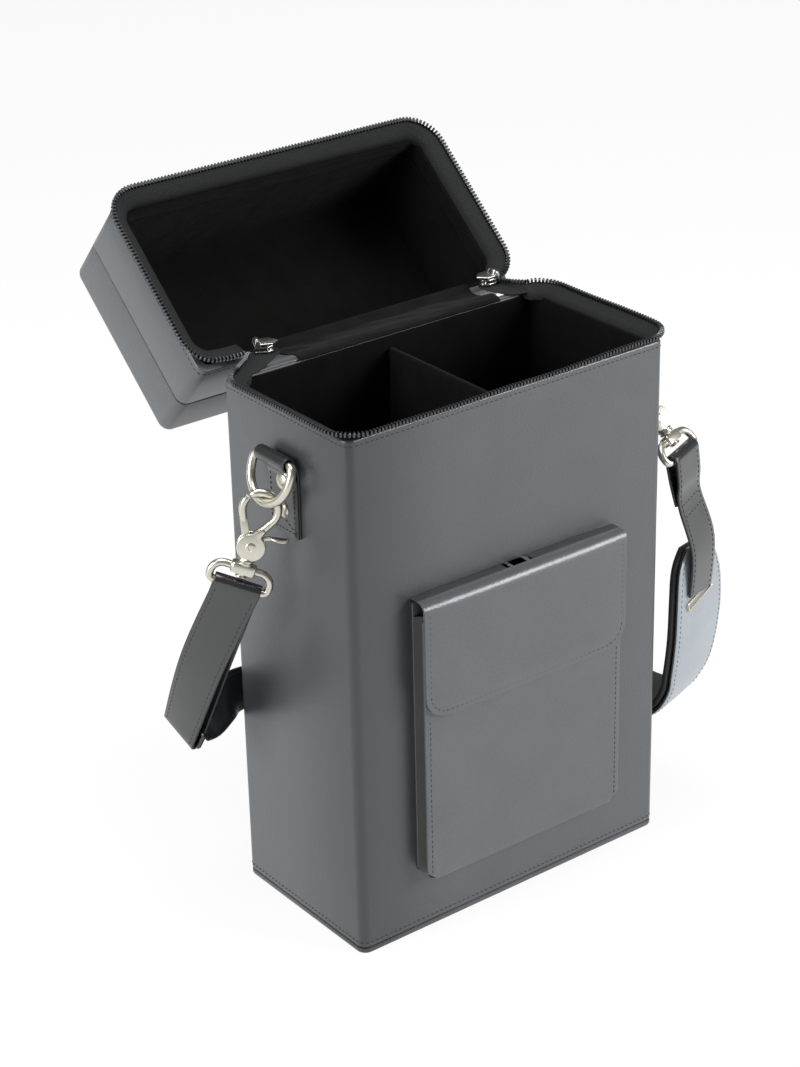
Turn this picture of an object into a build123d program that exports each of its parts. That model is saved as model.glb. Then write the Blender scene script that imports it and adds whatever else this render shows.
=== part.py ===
from build123d import *
from math import atan2, cos, degrees, radians, sin
import os

os.makedirs("parts", exist_ok=True)

# Leather wine carrier with an open lid. Millimetres, X to the right, Y to the back, Z up.
# The origin is the centre of the underside.

# Case and lid, outside sizes
case_width = 200.0
case_depth = 103.0
case_height = 286.5
lid_height = 62.5
edge_radius = 5.0
half_w = case_width / 2
half_d = case_depth / 2

# Stack of one wall, from the outside in
leather_thick = 1.2
board_thick = 2.5
tape_thick = 0.8
lining_thick = 0.8

# Base and rims
base_thick = 1.2
base_lip = 3.2
seam_gap = 0.4
base_board_thick = 3.0
lining_drop = 1.5
divider_thick = 3.0
divider_drop = 7.5
fit = 0.3

# Lid
lid_band_height = 33.0
lid_top_radius = 4.5
lid_open_angle = 138.6
rim_gap = 14.0
hinge_back = 6.2
hinge_y = half_d + hinge_back
hinge_above_rim = 1.6

# Zip
chain_radius = 16.0
tape_below_rim = 9.0
tape_above_rim = 4.5
tooth_width = 2.6
tooth_length = 1.5
tooth_height = 2.3
tooth_pitch = 2.6
chain_end_past = 3.9
chain_last_arc = 45.0
shelf_thick = 0.5
shelf_reach = 1.8
tail_thick = 0.7
tail_back = half_d + 17.0
tail_end_left = 42.5 - half_w
tail_end_right = half_w - 25.5
slider_left = (34.5 - half_w, half_d + 13.3)
slider_left_turn = -23.0
slider_right = (half_w - 18.8, half_d + 14.8)
slider_right_turn = 177.0
slider_length = 10.0
slider_width = 7.0
slider_plate = 1.0
slider_gap = 2.0
pull_length = 10.0
pull_width = 4.4
pull_thick = 1.2
pull_pin_radius = 0.8
pull_pin_set = 3.5

# Hinge strip: its section is given as (distance behind the case, height above the rim)
hinge_left = 44.0 - half_w
hinge_right = half_w - 27.0
hinge_thick = 1.0
hinge_section = [(-3.0, 0.7), (1.5, 1.1), (6.5, -0.3), (12.0, -1.3), (16.5, -1.6), (19.5, -1.6)]

# Front pocket
pocket_width = 129.0
pocket_bottom = 34.5
pocket_top = 194.0
pocket_corner = 6.0
pocket_back_thick = 1.2
pocket_front_thick = 1.4
pocket_room = 7.0
gusset_thick = 1.0
gusset_fold = 4.0
flap_overhang = 1.0
flap_width = pocket_width + 2 * flap_overhang
flap_bottom = 129.5
flap_corner = 14.0
flap_thick = 1.4
flap_bend = 5.0
snap_radius = 7.0
snap_thick = 1.0
snap_height = 143.0

# Strap tabs and their rivets
tab_width = 24.0
tab_thick = 2.4
tab_bottom = 222.0
tab_y = -0.5
tab_rivet_heights = (235.0, 249.8)
rivet_radius = 4.5
rivet_dome = 1.6
rivet_shank = 1.5

# D-rings
ring_wire = 2.3
ring_inside = 27.0
ring_depth = 22.0
ring_out = 6.2
ring_height = 263.0
ring_corner = 4.0
ring_play = 0.3
ring_flat = 0.1

# Swivel hooks
hook_wire = 1.95
hook_bow = 8.7
hook_rivet_drop = 23.8
hook_rivet_side = 1.5
hook_plate_radius = 7.2
hook_plate_thick = 6.0
hook_rivet_radius = 1.6
gate_thick = 2.0
gate_play = 0.3
gate_lug_radius = 5.4
arm_straight = 12.0
finger_straight = 5.0
gate_web = [(-8.3, -11.8), (-4.6, -10.2), (-0.8, -18.6), (1.5, -23.6), (-3.4, -22.0)]
lever_root = [(1.5, -21.5), (8.6, -18.0), (11.2, -17.3), (11.2, -15.9), (8.4, -16.2), (3.0, -18.6)]
lever_start = 10.9
lever_low = -17.5
lever_high = -15.9
lever_tip = -14.4
lever_reach = 16.2
lever_width = 5.2
lever_thick = 1.6
post_radius = 2.1
post_head = 0.9
post_head_thick = 1.2
rivet_head = 1.1
rivet_head_thick = 0.5
collar_radius = 4.0
collar_length = 3.2
running_gap = 0.05

# Swivel eyes
eye_wire = 2.0
eye_drop = 9.8
eye_corner = 2.6
eye_shoulder = 6.0
eye_side_play = 1.0
eye_block_length = 13.0
eye_block_height = 5.4
eye_block_thick = 6.4

# Strap
strap_width = 24.0
strap_thick = 1.5
strap_play = 0.3
tail_strap_length = 26.0
strap_bow = 2.0
bar_half = 1.1
bar_side = 2.0
bar_rise = 9.0

# Shoulder pad
pad_face_thick = 2.4
pad_cushion_thick = 4.2
pad_edge_round = 1.1
trim_height = 4.6
trim_thick = 0.9
trim_rim = 0.9

# Where the left hook, strap and right strap go in space: directions are unit vectors
left_hook_down = Vector(-0.32, 0.15, -0.93)
left_eye_along = Vector(0.712, -0.585, -0.387)
left_lever_out = Vector(0.70, -0.58, -0.384)
left_ring_swing = 20.0
left_ring_seat = 0.0
left_lift = 0.7
left_loop_out = 40.0
left_loop_back = 44.2
left_loop_height = 106.2
left_loop_end = Vector(-half_w - left_loop_out, left_loop_back, left_loop_height)
left_loop_shift = Vector(-1.3, 1.0, 0)
left_loop_along = Vector(0.10, -0.88, -0.46)
right_hook_down = Vector(0.2733, -0.6214, -0.7345)
right_eye_along = Vector(0.957, 0.289, 0.034)
right_lever_out = Vector(-0.935, 0.091, -0.337)
right_ring_swing = 25.0
right_ring_seat = 45.0
right_lift = 0.0
right_slot_out = 32.4
right_slot_front = 48.3
right_slot_height = 132.0
right_slot = Vector(half_w + right_slot_out, -right_slot_front, right_slot_height)
right_strap_shift = Vector(4.3, -2.7, 0)
right_slot_along = Vector(0.93, 0.30, 0.20)

# Route of the shoulder pad from its top end: centre out from the case's right wall, direction across, width
pad_route = [
    (Vector(34.0, -40.2, 157.0), Vector(0.95, 0.30, 0.10), 18.0),
    (Vector(34.0, -41.6, 148.5), Vector(0.95, 0.30, 0.10), 37.0),
    (Vector(34.2, -43.4, 133.0), Vector(0.95, 0.30, 0.10), 47.0),
    (Vector(34.2, -43.4, 110.5), Vector(0.95, 0.30, 0.10), 50.0),
    (Vector(33.0, -41.0, 87.0), Vector(0.95, 0.30, 0.10), 49.0),
    (Vector(30.2, -38.4, 74.0), Vector(0.95, 0.30, 0.10), 46.0),
    (Vector(27.0, -33.5, 64.5), Vector(0.97, 0.24, 0.08), 43.0),
    (Vector(25.5, -24.0, 58.5), Vector(0.99, 0.14, 0.04), 42.0),
    (Vector(24.5, -6.0, 56.0), Vector(1.0, 0.0, 0.0), 42.0),
    (Vector(22.5, 14.0, 57.5), Vector(0.99, -0.10, -0.05), 37.0),
    (Vector(18.0, 32.0, 61.0), Vector(0.95, -0.22, -0.20), 22.0),
]

# Route of the strap behind the case, from the left slider bar to the pad: centre, direction across
back_route = [
    (Vector(-1.22 * half_w, 50.5, 103.5), Vector(0.12, -0.72, -0.68)),
    (Vector(-1.09 * half_w, 55.5, 105.5), Vector(0.12, -0.45, -0.88)),
    (Vector(-0.97 * half_w, 58.5, 107.3), Vector(0.05, -0.15, -0.98)),
    (Vector(-0.75 * half_w, 60.5, 104.0), Vector(0.0, 0.0, -1.0)),
    (Vector(-0.3 * half_w, 65.0, 93.0), Vector(0.0, 0.0, -1.0)),
    (Vector(0.2 * half_w, 69.0, 81.0), Vector(0.0, 0.0, -1.0)),
    (Vector(0.65 * half_w, 70.0, 73.0), Vector(0.0, 0.0, -1.0)),
    (Vector(0.9 * half_w, 67.0, 68.5), Vector(0.1, -0.1, -0.99)),
    (Vector(1.06 * half_w, 58.0, 65.0), Vector(0.45, -0.35, -0.82)),
    (Vector(1.145 * half_w, 43.0, 63.2), Vector(0.85, -0.35, -0.38)),
]


def finish(piece, label):
    """Name one finished piece and write its file."""
    piece.part.label = label
    export_step(piece.part, f"parts/{label}.step")


def unit(vector):
    return vector.normalized()


def across(x_axis, y_like):
    """A plane normal square to x_axis, on the side that y_like asks for."""
    return unit(x_axis.cross(y_like))


# Lid frame: origin at the centre of the lid's rim, +Z from the rim to the top of the lid
hinge_z = case_height + hinge_above_rim
turn = radians(-lid_open_angle)
rim_y = -hinge_y
rim_z = rim_gap - hinge_above_rim
lid_origin = Vector(
    0,
    hinge_y + rim_y * cos(turn) - rim_z * sin(turn),
    hinge_z + rim_y * sin(turn) + rim_z * cos(turn),
)
lid_up = Vector(0, -sin(turn), cos(turn))
lid_frame = Plane(origin=lid_origin, x_dir=(1, 0, 0), z_dir=lid_up)

# Walls from the outside in, as half sizes
board_w = half_w - leather_thick
board_d = half_d - leather_thick
inner_w = board_w - board_thick
inner_d = board_d - board_thick
lining_w = inner_w - tape_thick
lining_d = inner_d - tape_thick
room_w = lining_w - lining_thick
room_d = lining_d - lining_thick
board_bottom = base_thick + base_board_thick
wrap_bottom = base_lip + seam_gap

# Base cover: a leather tray that turns up round the bottom edge
with BuildPart() as base_cover:
    with BuildSketch():
        RectangleRounded(case_width, case_depth, edge_radius)
    extrude(amount=base_lip)
    with BuildSketch(Plane.XY.offset(base_thick)):
        RectangleRounded(2 * board_w, 2 * board_d, edge_radius - leather_thick)
    extrude(amount=base_lip, mode=Mode.SUBTRACT)
finish(base_cover, "base_cover")

with BuildPart() as base_board:
    with BuildSketch(Plane.XY.offset(base_thick)):
        RectangleRounded(2 * board_w, 2 * board_d, edge_radius - leather_thick)
    extrude(amount=base_board_thick)
finish(base_board, "base_board")


def wall_boards(frame, low, high, prefix):
    """Four flat boards of a box, between two heights above the frame."""
    long_half = half_w - edge_radius
    short_half = half_d - edge_radius
    places = {
        "front": (0, -board_d + board_thick / 2, 2 * long_half, board_thick),
        "back": (0, board_d - board_thick / 2, 2 * long_half, board_thick),
        "left": (-board_w + board_thick / 2, 0, board_thick, 2 * short_half),
        "right": (board_w - board_thick / 2, 0, board_thick, 2 * short_half),
    }
    for name, (x, y, width, depth) in places.items():
        with BuildPart() as board:
            with BuildSketch(frame.offset(low)):
                with Locations((x, y)):
                    Rectangle(width, depth)
            extrude(amount=high - low)
        finish(board, f"{prefix}_{name}_board")


wall_boards(Plane.XY, board_bottom, case_height - leather_thick, "case")

# Leather wrap of the case, turned over the top edge of the boards
with BuildPart() as case_leather:
    with BuildSketch(Plane.XY.offset(wrap_bottom)):
        RectangleRounded(case_width, case_depth, edge_radius)
        RectangleRounded(2 * board_w, 2 * board_d, edge_radius - leather_thick, mode=Mode.SUBTRACT)
    extrude(amount=case_height - wrap_bottom)
    with BuildSketch(Plane.XY.offset(case_height - leather_thick)):
        RectangleRounded(2 * board_w, 2 * board_d, edge_radius - leather_thick)
        Rectangle(2 * inner_w, 2 * inner_d, mode=Mode.SUBTRACT)
    extrude(amount=leather_thick)
    top_rim = case_leather.faces().sort_by(Axis.Z)[-1].outer_wire().edges()
    fillet(top_rim, radius=leather_thick / 2)
finish(case_leather, "case_leather")

# Velvet lining: an open box inside the boards
lining_top = case_height - lining_drop
with BuildPart() as case_lining:
    with BuildSketch(Plane.XY.offset(board_bottom)):
        Rectangle(2 * lining_w, 2 * lining_d)
    extrude(amount=lining_top - board_bottom)
    with BuildSketch(Plane.XY.offset(board_bottom + lining_thick)):
        Rectangle(2 * room_w, 2 * room_d)
    extrude(amount=lining_top, mode=Mode.SUBTRACT)
finish(case_lining, "case_lining")

# Middle divider, standing on the lining's floor
with BuildPart() as divider:
    divider_bottom = board_bottom + lining_thick
    with BuildSketch(Plane.XY.offset(divider_bottom)):
        Rectangle(divider_thick, 2 * room_d)
    extrude(amount=case_height - divider_drop - divider_bottom)
    rounded = divider.edges().filter_by(Axis.Y).group_by(Axis.Z)[-1]
    fillet(rounded, radius=divider_thick / 2 - 0.1)
finish(divider, "divider")

# Centre line of the zip chain, seen from above
chain_w = inner_w - tape_thick / 2
chain_d = inner_d - tape_thick / 2
corner_w = chain_w - chain_radius
corner_d = chain_d - chain_radius


def chain_run():
    """The zip's run from its left end at the back, round the front, to its right end."""
    with BuildLine() as run:
        Line((chain_end_past - corner_w, chain_d), (-corner_w, chain_d))
        CenterArc((-corner_w, corner_d), chain_radius, 90, 90)
        Line((-chain_w, corner_d), (-chain_w, -corner_d))
        CenterArc((-corner_w, -corner_d), chain_radius, 180, 90)
        Line((-corner_w, -chain_d), (corner_w, -chain_d))
        CenterArc((corner_w, -corner_d), chain_radius, 270, 90)
        Line((chain_w, -corner_d), (chain_w, corner_d))
        CenterArc((corner_w, corner_d), chain_radius, 0, chain_last_arc)
    return run


def zip_tape(frame, side, tails):
    """Tape of one zip half. side is 1 where the zip stands above the frame, -1 where it hangs below."""
    open_width = tail_end_right - tail_end_left + 2 * fit
    open_middle = (tail_end_right + tail_end_left) / 2
    with BuildPart() as tape:
        with BuildSketch(frame):
            trace(chain_run().line, tape_thick)
        extrude(amount=side * tape_above_rim)
        with BuildSketch(frame):
            RectangleRounded(2 * (inner_w + shelf_reach), 2 * (inner_d + shelf_reach), edge_radius - leather_thick)
            RectangleRounded(2 * lining_w, 2 * lining_d, chain_radius - tape_thick / 2, mode=Mode.SUBTRACT)
            with Locations((open_middle, half_d)):
                Rectangle(open_width, half_d, mode=Mode.SUBTRACT)
        extrude(amount=side * shelf_thick)
        with BuildSketch(frame):
            with Locations((inner_w - tape_thick / 2, 0), (tape_thick / 2 - inner_w, 0)):
                Rectangle(tape_thick, 2 * corner_d)
            with Locations((0, tape_thick / 2 - inner_d)):
                Rectangle(2 * corner_w, tape_thick)
        extrude(amount=-side * tape_below_rim)
        for outline in tails:
            with BuildSketch(frame.offset(side * shelf_thick)):
                with BuildLine():
                    Polyline(*outline, close=True)
                make_face()
            extrude(amount=side * tail_thick)
    return tape


def zip_teeth(frame, side):
    """Metal teeth along the free edge of the tape, one solid each."""
    run = chain_run().wire()
    count = int(run.length / tooth_pitch)
    places = []
    for index in range(count):
        share = (index + 0.5) / count
        point = run @ share
        heading = run % share
        places.append(Location((point.X, point.Y, 0), (0, 0, degrees(atan2(heading.Y, heading.X)))))
    edge = tape_above_rim if side > 0 else -tape_above_rim - tooth_height
    with BuildPart(frame.offset(edge)) as teeth:
        with Locations(*places):
            Box(tooth_length, tooth_width, tooth_height, align=(Align.CENTER, Align.CENTER, Align.MIN))
    return teeth


# Zip half of the case, with a flat tail of tape at each end that carries a slider
case_rim = Plane.XY.offset(case_height)
tail_front = lining_d
tail_corner = 13.0
left_tail = [
    (-lining_w, tail_front - 8),
    (-corner_w, tail_front - 2),
    (tail_end_left, tail_back - 8),
    (tail_end_left, tail_back),
    (tail_end_left - tail_corner, tail_back),
    (-lining_w, tail_front + 4),
]
right_tail = [
    (lining_w, tail_front - 8),
    (corner_w, tail_front - 2),
    (tail_end_right, tail_back - 8),
    (tail_end_right, tail_back),
    (tail_end_right + tail_corner, tail_back),
    (lining_w, tail_front + 4),
]
finish(zip_tape(case_rim, 1, [left_tail, right_tail]), "case_zip_tape")
finish(zip_teeth(case_rim, 1), "case_zip_teeth")

# Velvet strip that joins the case to the lid behind the opening
with BuildPart() as hinge_strip:
    with BuildSketch(Plane.YZ.offset(hinge_left)):
        with BuildLine():
            upper = [(half_d + y, case_height + z + hinge_thick / 2) for y, z in hinge_section]
            lower = [(half_d + y, case_height + z - hinge_thick / 2) for y, z in hinge_section]
            Spline(*upper)
            Spline(*lower)
            Line(upper[0], lower[0])
            Line(upper[-1], lower[-1])
        make_face()
    extrude(amount=hinge_right - hinge_left)
finish(hinge_strip, "hinge_strip")

# Lid boards and lid leather, built up from the rim
lid_side_top = lid_height - lid_top_radius
wall_boards(lid_frame, leather_thick, lid_side_top, "lid")

with BuildPart() as lid_top_board:
    inset = lid_top_radius - leather_thick + fit
    with BuildSketch(lid_frame.offset(lid_height - leather_thick - board_thick)):
        Rectangle(2 * (board_w - inset), 2 * (board_d - inset))
    extrude(amount=board_thick)
finish(lid_top_board, "lid_top_board")

with BuildPart() as lid_band:
    with BuildSketch(lid_frame):
        RectangleRounded(case_width, case_depth, edge_radius)
        RectangleRounded(2 * board_w, 2 * board_d, edge_radius - leather_thick, mode=Mode.SUBTRACT)
    extrude(amount=lid_band_height - seam_gap / 2)
    with BuildSketch(lid_frame):
        RectangleRounded(2 * board_w, 2 * board_d, edge_radius - leather_thick)
        Rectangle(2 * inner_w, 2 * inner_d, mode=Mode.SUBTRACT)
    extrude(amount=leather_thick)
finish(lid_band, "lid_band")

with BuildPart() as lid_cap:
    cap_bottom = lid_band_height + seam_gap / 2
    with BuildSketch(lid_frame.offset(cap_bottom)):
        RectangleRounded(case_width, case_depth, edge_radius)
    extrude(amount=lid_height - cap_bottom)
    top_face = lid_cap.faces().sort_by(Axis(lid_origin, lid_up))[-1]
    fillet(top_face.edges(), radius=lid_top_radius)
    open_face = lid_cap.faces().sort_by(Axis(lid_origin, lid_up))[0]
    offset(amount=-leather_thick, openings=open_face)
finish(lid_cap, "lid_cap")

with BuildPart() as lid_lining:
    with BuildSketch(lid_frame.offset(lining_drop)):
        Rectangle(2 * lining_w, 2 * lining_d)
    lid_lining_top = lid_height - leather_thick - board_thick - fit
    extrude(amount=lid_lining_top - lining_drop)
    with BuildSketch(lid_frame.offset(lining_drop)):
        Rectangle(2 * room_w, 2 * room_d)
    extrude(amount=lid_lining_top - lining_drop - lining_thick, mode=Mode.SUBTRACT)
finish(lid_lining, "lid_lining")

finish(zip_tape(lid_frame, -1, []), "lid_zip_tape")
finish(zip_teeth(lid_frame, -1), "lid_zip_teeth")


def zip_slider(place, turned, side):
    """Slider of two plates on a wedge with an ear each side, and its pull tab on a pin."""
    low = case_height + shelf_thick + tail_thick + fit
    frame = Plane(origin=(place[0], place[1], low), x_dir=(cos(radians(turned)), sin(radians(turned)), 0))
    plates_top = 2 * slider_plate + slider_gap
    pin_height = plates_top + pull_pin_radius + 1.0
    ear_thick = (slider_width - pull_width) / 2 - fit
    barrel = pull_pin_radius + 0.7
    with BuildPart() as slider:
        with BuildSketch(frame, frame.offset(slider_plate + slider_gap)):
            RectangleRounded(slider_length, slider_width, 1.8)
        extrude(amount=slider_plate)
        with BuildSketch(frame.offset(slider_plate)):
            with Locations((slider_length / 2 - 2.2, 0)):
                Circle(1.5)
        extrude(amount=slider_gap)
        with BuildSketch(frame.offset(plates_top)):
            with Locations(*[(-pull_pin_set, s * (slider_width - ear_thick) / 2) for s in (-1, 1)]):
                Rectangle(2 * barrel, ear_thick)
        extrude(amount=pin_height - plates_top + barrel)
        pin_plane = Plane(
            origin=frame.from_local_coords((-pull_pin_set, slider_width / 2, pin_height)),
            x_dir=frame.x_dir,
            z_dir=-frame.y_dir,
        )
        with BuildSketch(pin_plane):
            Circle(pull_pin_radius)
        extrude(amount=slider_width)
    finish(slider, f"zip_slider_{side}")
    with BuildPart() as pull:
        with BuildSketch(pin_plane.offset((slider_width - pull_width) / 2)):
            Circle(barrel)
            with Locations((pull_length / 2, 0)):
                Rectangle(pull_length, pull_thick)
            Circle(pull_pin_radius + running_gap, mode=Mode.SUBTRACT)
        extrude(amount=pull_width)
        fillet(pull.edges().filter_by(Axis(frame.origin, pin_plane.y_dir)).sort_by(Axis(frame.origin, frame.x_dir))[-2:], 1.8)
    finish(pull, f"zip_pull_{side}")


zip_slider(slider_left, slider_left_turn, "left")
zip_slider(slider_right, slider_right_turn, "right")

# Front pocket: distances out from the front of the case
front = Plane.XZ.offset(half_d)
pocket_half = pocket_width / 2
gusset_start = pocket_back_thick
gusset_end = gusset_start + pocket_room
pocket_face = gusset_end + pocket_front_thick
flap_inner = pocket_face + snap_thick + fit
flap_axis_out = flap_thick / 2 + fit
flap_axis_z = pocket_top + fit + flap_thick / 2


def pocket_panel(out, thick, top):
    with BuildPart() as panel:
        with BuildSketch(front.offset(out)):
            with Locations((0, (top + pocket_bottom) / 2)):
                Rectangle(pocket_width, top - pocket_bottom)
        extrude(amount=thick)
        low_corners = panel.edges().filter_by(Axis.Y).group_by(Axis.Z)[0]
        fillet(low_corners, radius=pocket_corner)
    return panel


finish(pocket_panel(0, pocket_back_thick, pocket_top), "pocket_back")
pocket_mouth = pocket_top - 2 * flap_bend
finish(pocket_panel(gusset_end, pocket_front_thick, pocket_mouth), "pocket_front")

# Bellows side of the pocket: one inward fold, swept round the sides and bottom
with BuildPart() as pocket_gusset:
    with BuildLine(front) as rim_line:
        FilletPolyline(
            (-pocket_half, pocket_mouth),
            (-pocket_half, pocket_bottom),
            (pocket_half, pocket_bottom),
            (pocket_half, pocket_mouth),
            radius=pocket_corner,
        )
    with BuildSketch(Plane(origin=(-pocket_half, -half_d, pocket_mouth), x_dir=(1, 0, 0), z_dir=(0, 0, -1))):
        middle = (gusset_start + gusset_end) / 2
        with BuildLine():
            Polyline(
                (0, gusset_start),
                (gusset_fold, middle),
                (0, gusset_end),
                (gusset_thick, gusset_end),
                (gusset_thick + gusset_fold, middle),
                (gusset_thick, gusset_start),
                close=True,
            )
        make_face()
    sweep(path=rim_line.line)
finish(pocket_gusset, "pocket_gusset")

# Pocket flap, folded over the pocket's mouth and turning at its back edge
with BuildPart() as pocket_flap:
    with BuildSketch(Plane.YZ.offset(-flap_width / 2)):
        with BuildLine() as flap_line:
            FilletPolyline(
                (-half_d - flap_axis_out, flap_axis_z),
                (-half_d - flap_inner - flap_thick / 2, flap_axis_z),
                (-half_d - flap_inner - flap_thick / 2, flap_bottom),
                radius=flap_bend,
            )
        trace(flap_line.line, flap_thick)
    extrude(amount=flap_width)
    flap_corners = pocket_flap.edges().filter_by(Axis.Y).group_by(Axis.Z)[0]
    fillet(flap_corners, radius=flap_corner)
finish(pocket_flap, "pocket_flap")


def snap_disc(out, label):
    with BuildPart() as disc:
        with BuildSketch(front.offset(out)):
            with Locations((0, snap_height)):
                Circle(snap_radius)
        extrude(amount=snap_thick)
    finish(disc, label)


snap_disc(pocket_face + fit, "flap_snap")
snap_disc(gusset_end - snap_thick, "pocket_snap")


def ring_frame(out, swing):
    """Plane of one D-ring: origin at its bar, X along the bar, Y up along the ring."""
    angle = radians(swing)
    bar = Vector(out * (half_w + ring_out), tab_y, ring_height)
    return Plane(origin=bar, x_dir=(0, 1, 0), z_dir=(cos(angle), 0, out * sin(angle)))


ring_half = ring_inside / 2 + ring_wire
ring_bend = ring_half - ring_flat


def strap_tab(out, side):
    """Leather strip folded round the ring's bar, with two dome rivets through it."""
    wall = out * half_w
    bar_x = out * (half_w + ring_out)
    loop_outer = ring_wire + ring_play + tab_thick / 2
    hang = Plane.XZ.offset(-tab_y - tab_width / 2)
    with BuildPart() as tab:
        with BuildSketch(hang):
            with BuildSketch(hang, mode=Mode.PRIVATE) as ends:
                with Locations((bar_x, ring_height)):
                    Circle(loop_outer)
                with Locations((wall + out * tab_thick / 2, ring_height - 3 * ring_wire)):
                    Rectangle(tab_thick, tab_thick)
            make_hull(ends.edges())
            with Locations((wall + out * tab_thick / 2, (tab_bottom + ring_height - 3 * ring_wire) / 2)):
                Rectangle(tab_thick, ring_height - 3 * ring_wire - tab_bottom)
            with Locations((bar_x, ring_height)):
                Circle(ring_wire + ring_play, mode=Mode.SUBTRACT)
        extrude(amount=tab_width)
        for height in tab_rivet_heights:
            with BuildSketch(Plane(origin=(wall, tab_y, height), z_dir=(out, 0, 0))):
                Circle(rivet_shank)
            extrude(amount=2 * tab_thick, mode=Mode.SUBTRACT)
    finish(tab, f"{side}_tab")
    with BuildPart() as rivets:
        for height in tab_rivet_heights:
            rivet_plane = Plane(origin=(wall, tab_y, height), z_dir=(out, 0, 0))
            with BuildSketch(rivet_plane):
                Circle(rivet_shank)
            extrude(amount=tab_thick)
            with BuildSketch(rivet_plane.offset(tab_thick)):
                Circle(rivet_radius)
            extrude(amount=rivet_dome)
        fillet(rivets.faces().sort_by(Axis((0, 0, 0), (out, 0, 0)))[-2:].edges(), rivet_dome - 0.2)
    finish(rivets, f"{side}_tab_rivets")


def d_ring(out, swing, side):
    frame = ring_frame(out, swing)
    with BuildPart() as ring:
        with BuildLine(frame) as ring_line:
            FilletPolyline(
                (-ring_half, 0),
                (ring_half, 0),
                (ring_half, -ring_depth),
                (-ring_half, -ring_depth),
                radius=[ring_corner, ring_corner, ring_bend, ring_bend],
                close=True,
            )
        start = ring_line.line @ 0
        with BuildSketch(Plane(origin=start, z_dir=ring_line.line % 0)):
            Circle(ring_wire)
        sweep(path=ring_line.line)
    finish(ring, f"{side}_ring")


def hook_frame(out, swing, seat, down, lever_out, lift):
    """Plane of one hook: origin near the ring's wire that passes through it, Y up along the hook."""
    ring = ring_frame(out, swing)
    angle = radians(seat)
    seat_point = ring.from_local_coords(
        (-ring_bend * sin(angle), -(ring_depth - ring_bend) - ring_bend * cos(angle), 0)
    )
    up = unit(down * -1)
    normal = across(lever_out, up)
    return Plane(origin=seat_point + up * lift, x_dir=up.cross(normal), z_dir=normal)


bow_drop = hook_bow - ring_wire - hook_wire - ring_play
arm_start = -30.0
arm_end = 140.0
gate_end = 150.0
gate_start = 205.0
plate_half = hook_plate_thick / 2
slot_half = gate_thick / 2 + gate_play
collar_top = hook_plate_radius - 0.6
collar_bottom = collar_top + collar_length
block_top = collar_bottom + ring_play
block_middle = block_top + eye_block_height / 2
post_end = block_top + eye_block_height + ring_play
gate_sweeps = [(26.0, 70.0, 15.0), (70.0, 98.0, 7.6), (98.0, 176.0, 15.0)]


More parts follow.
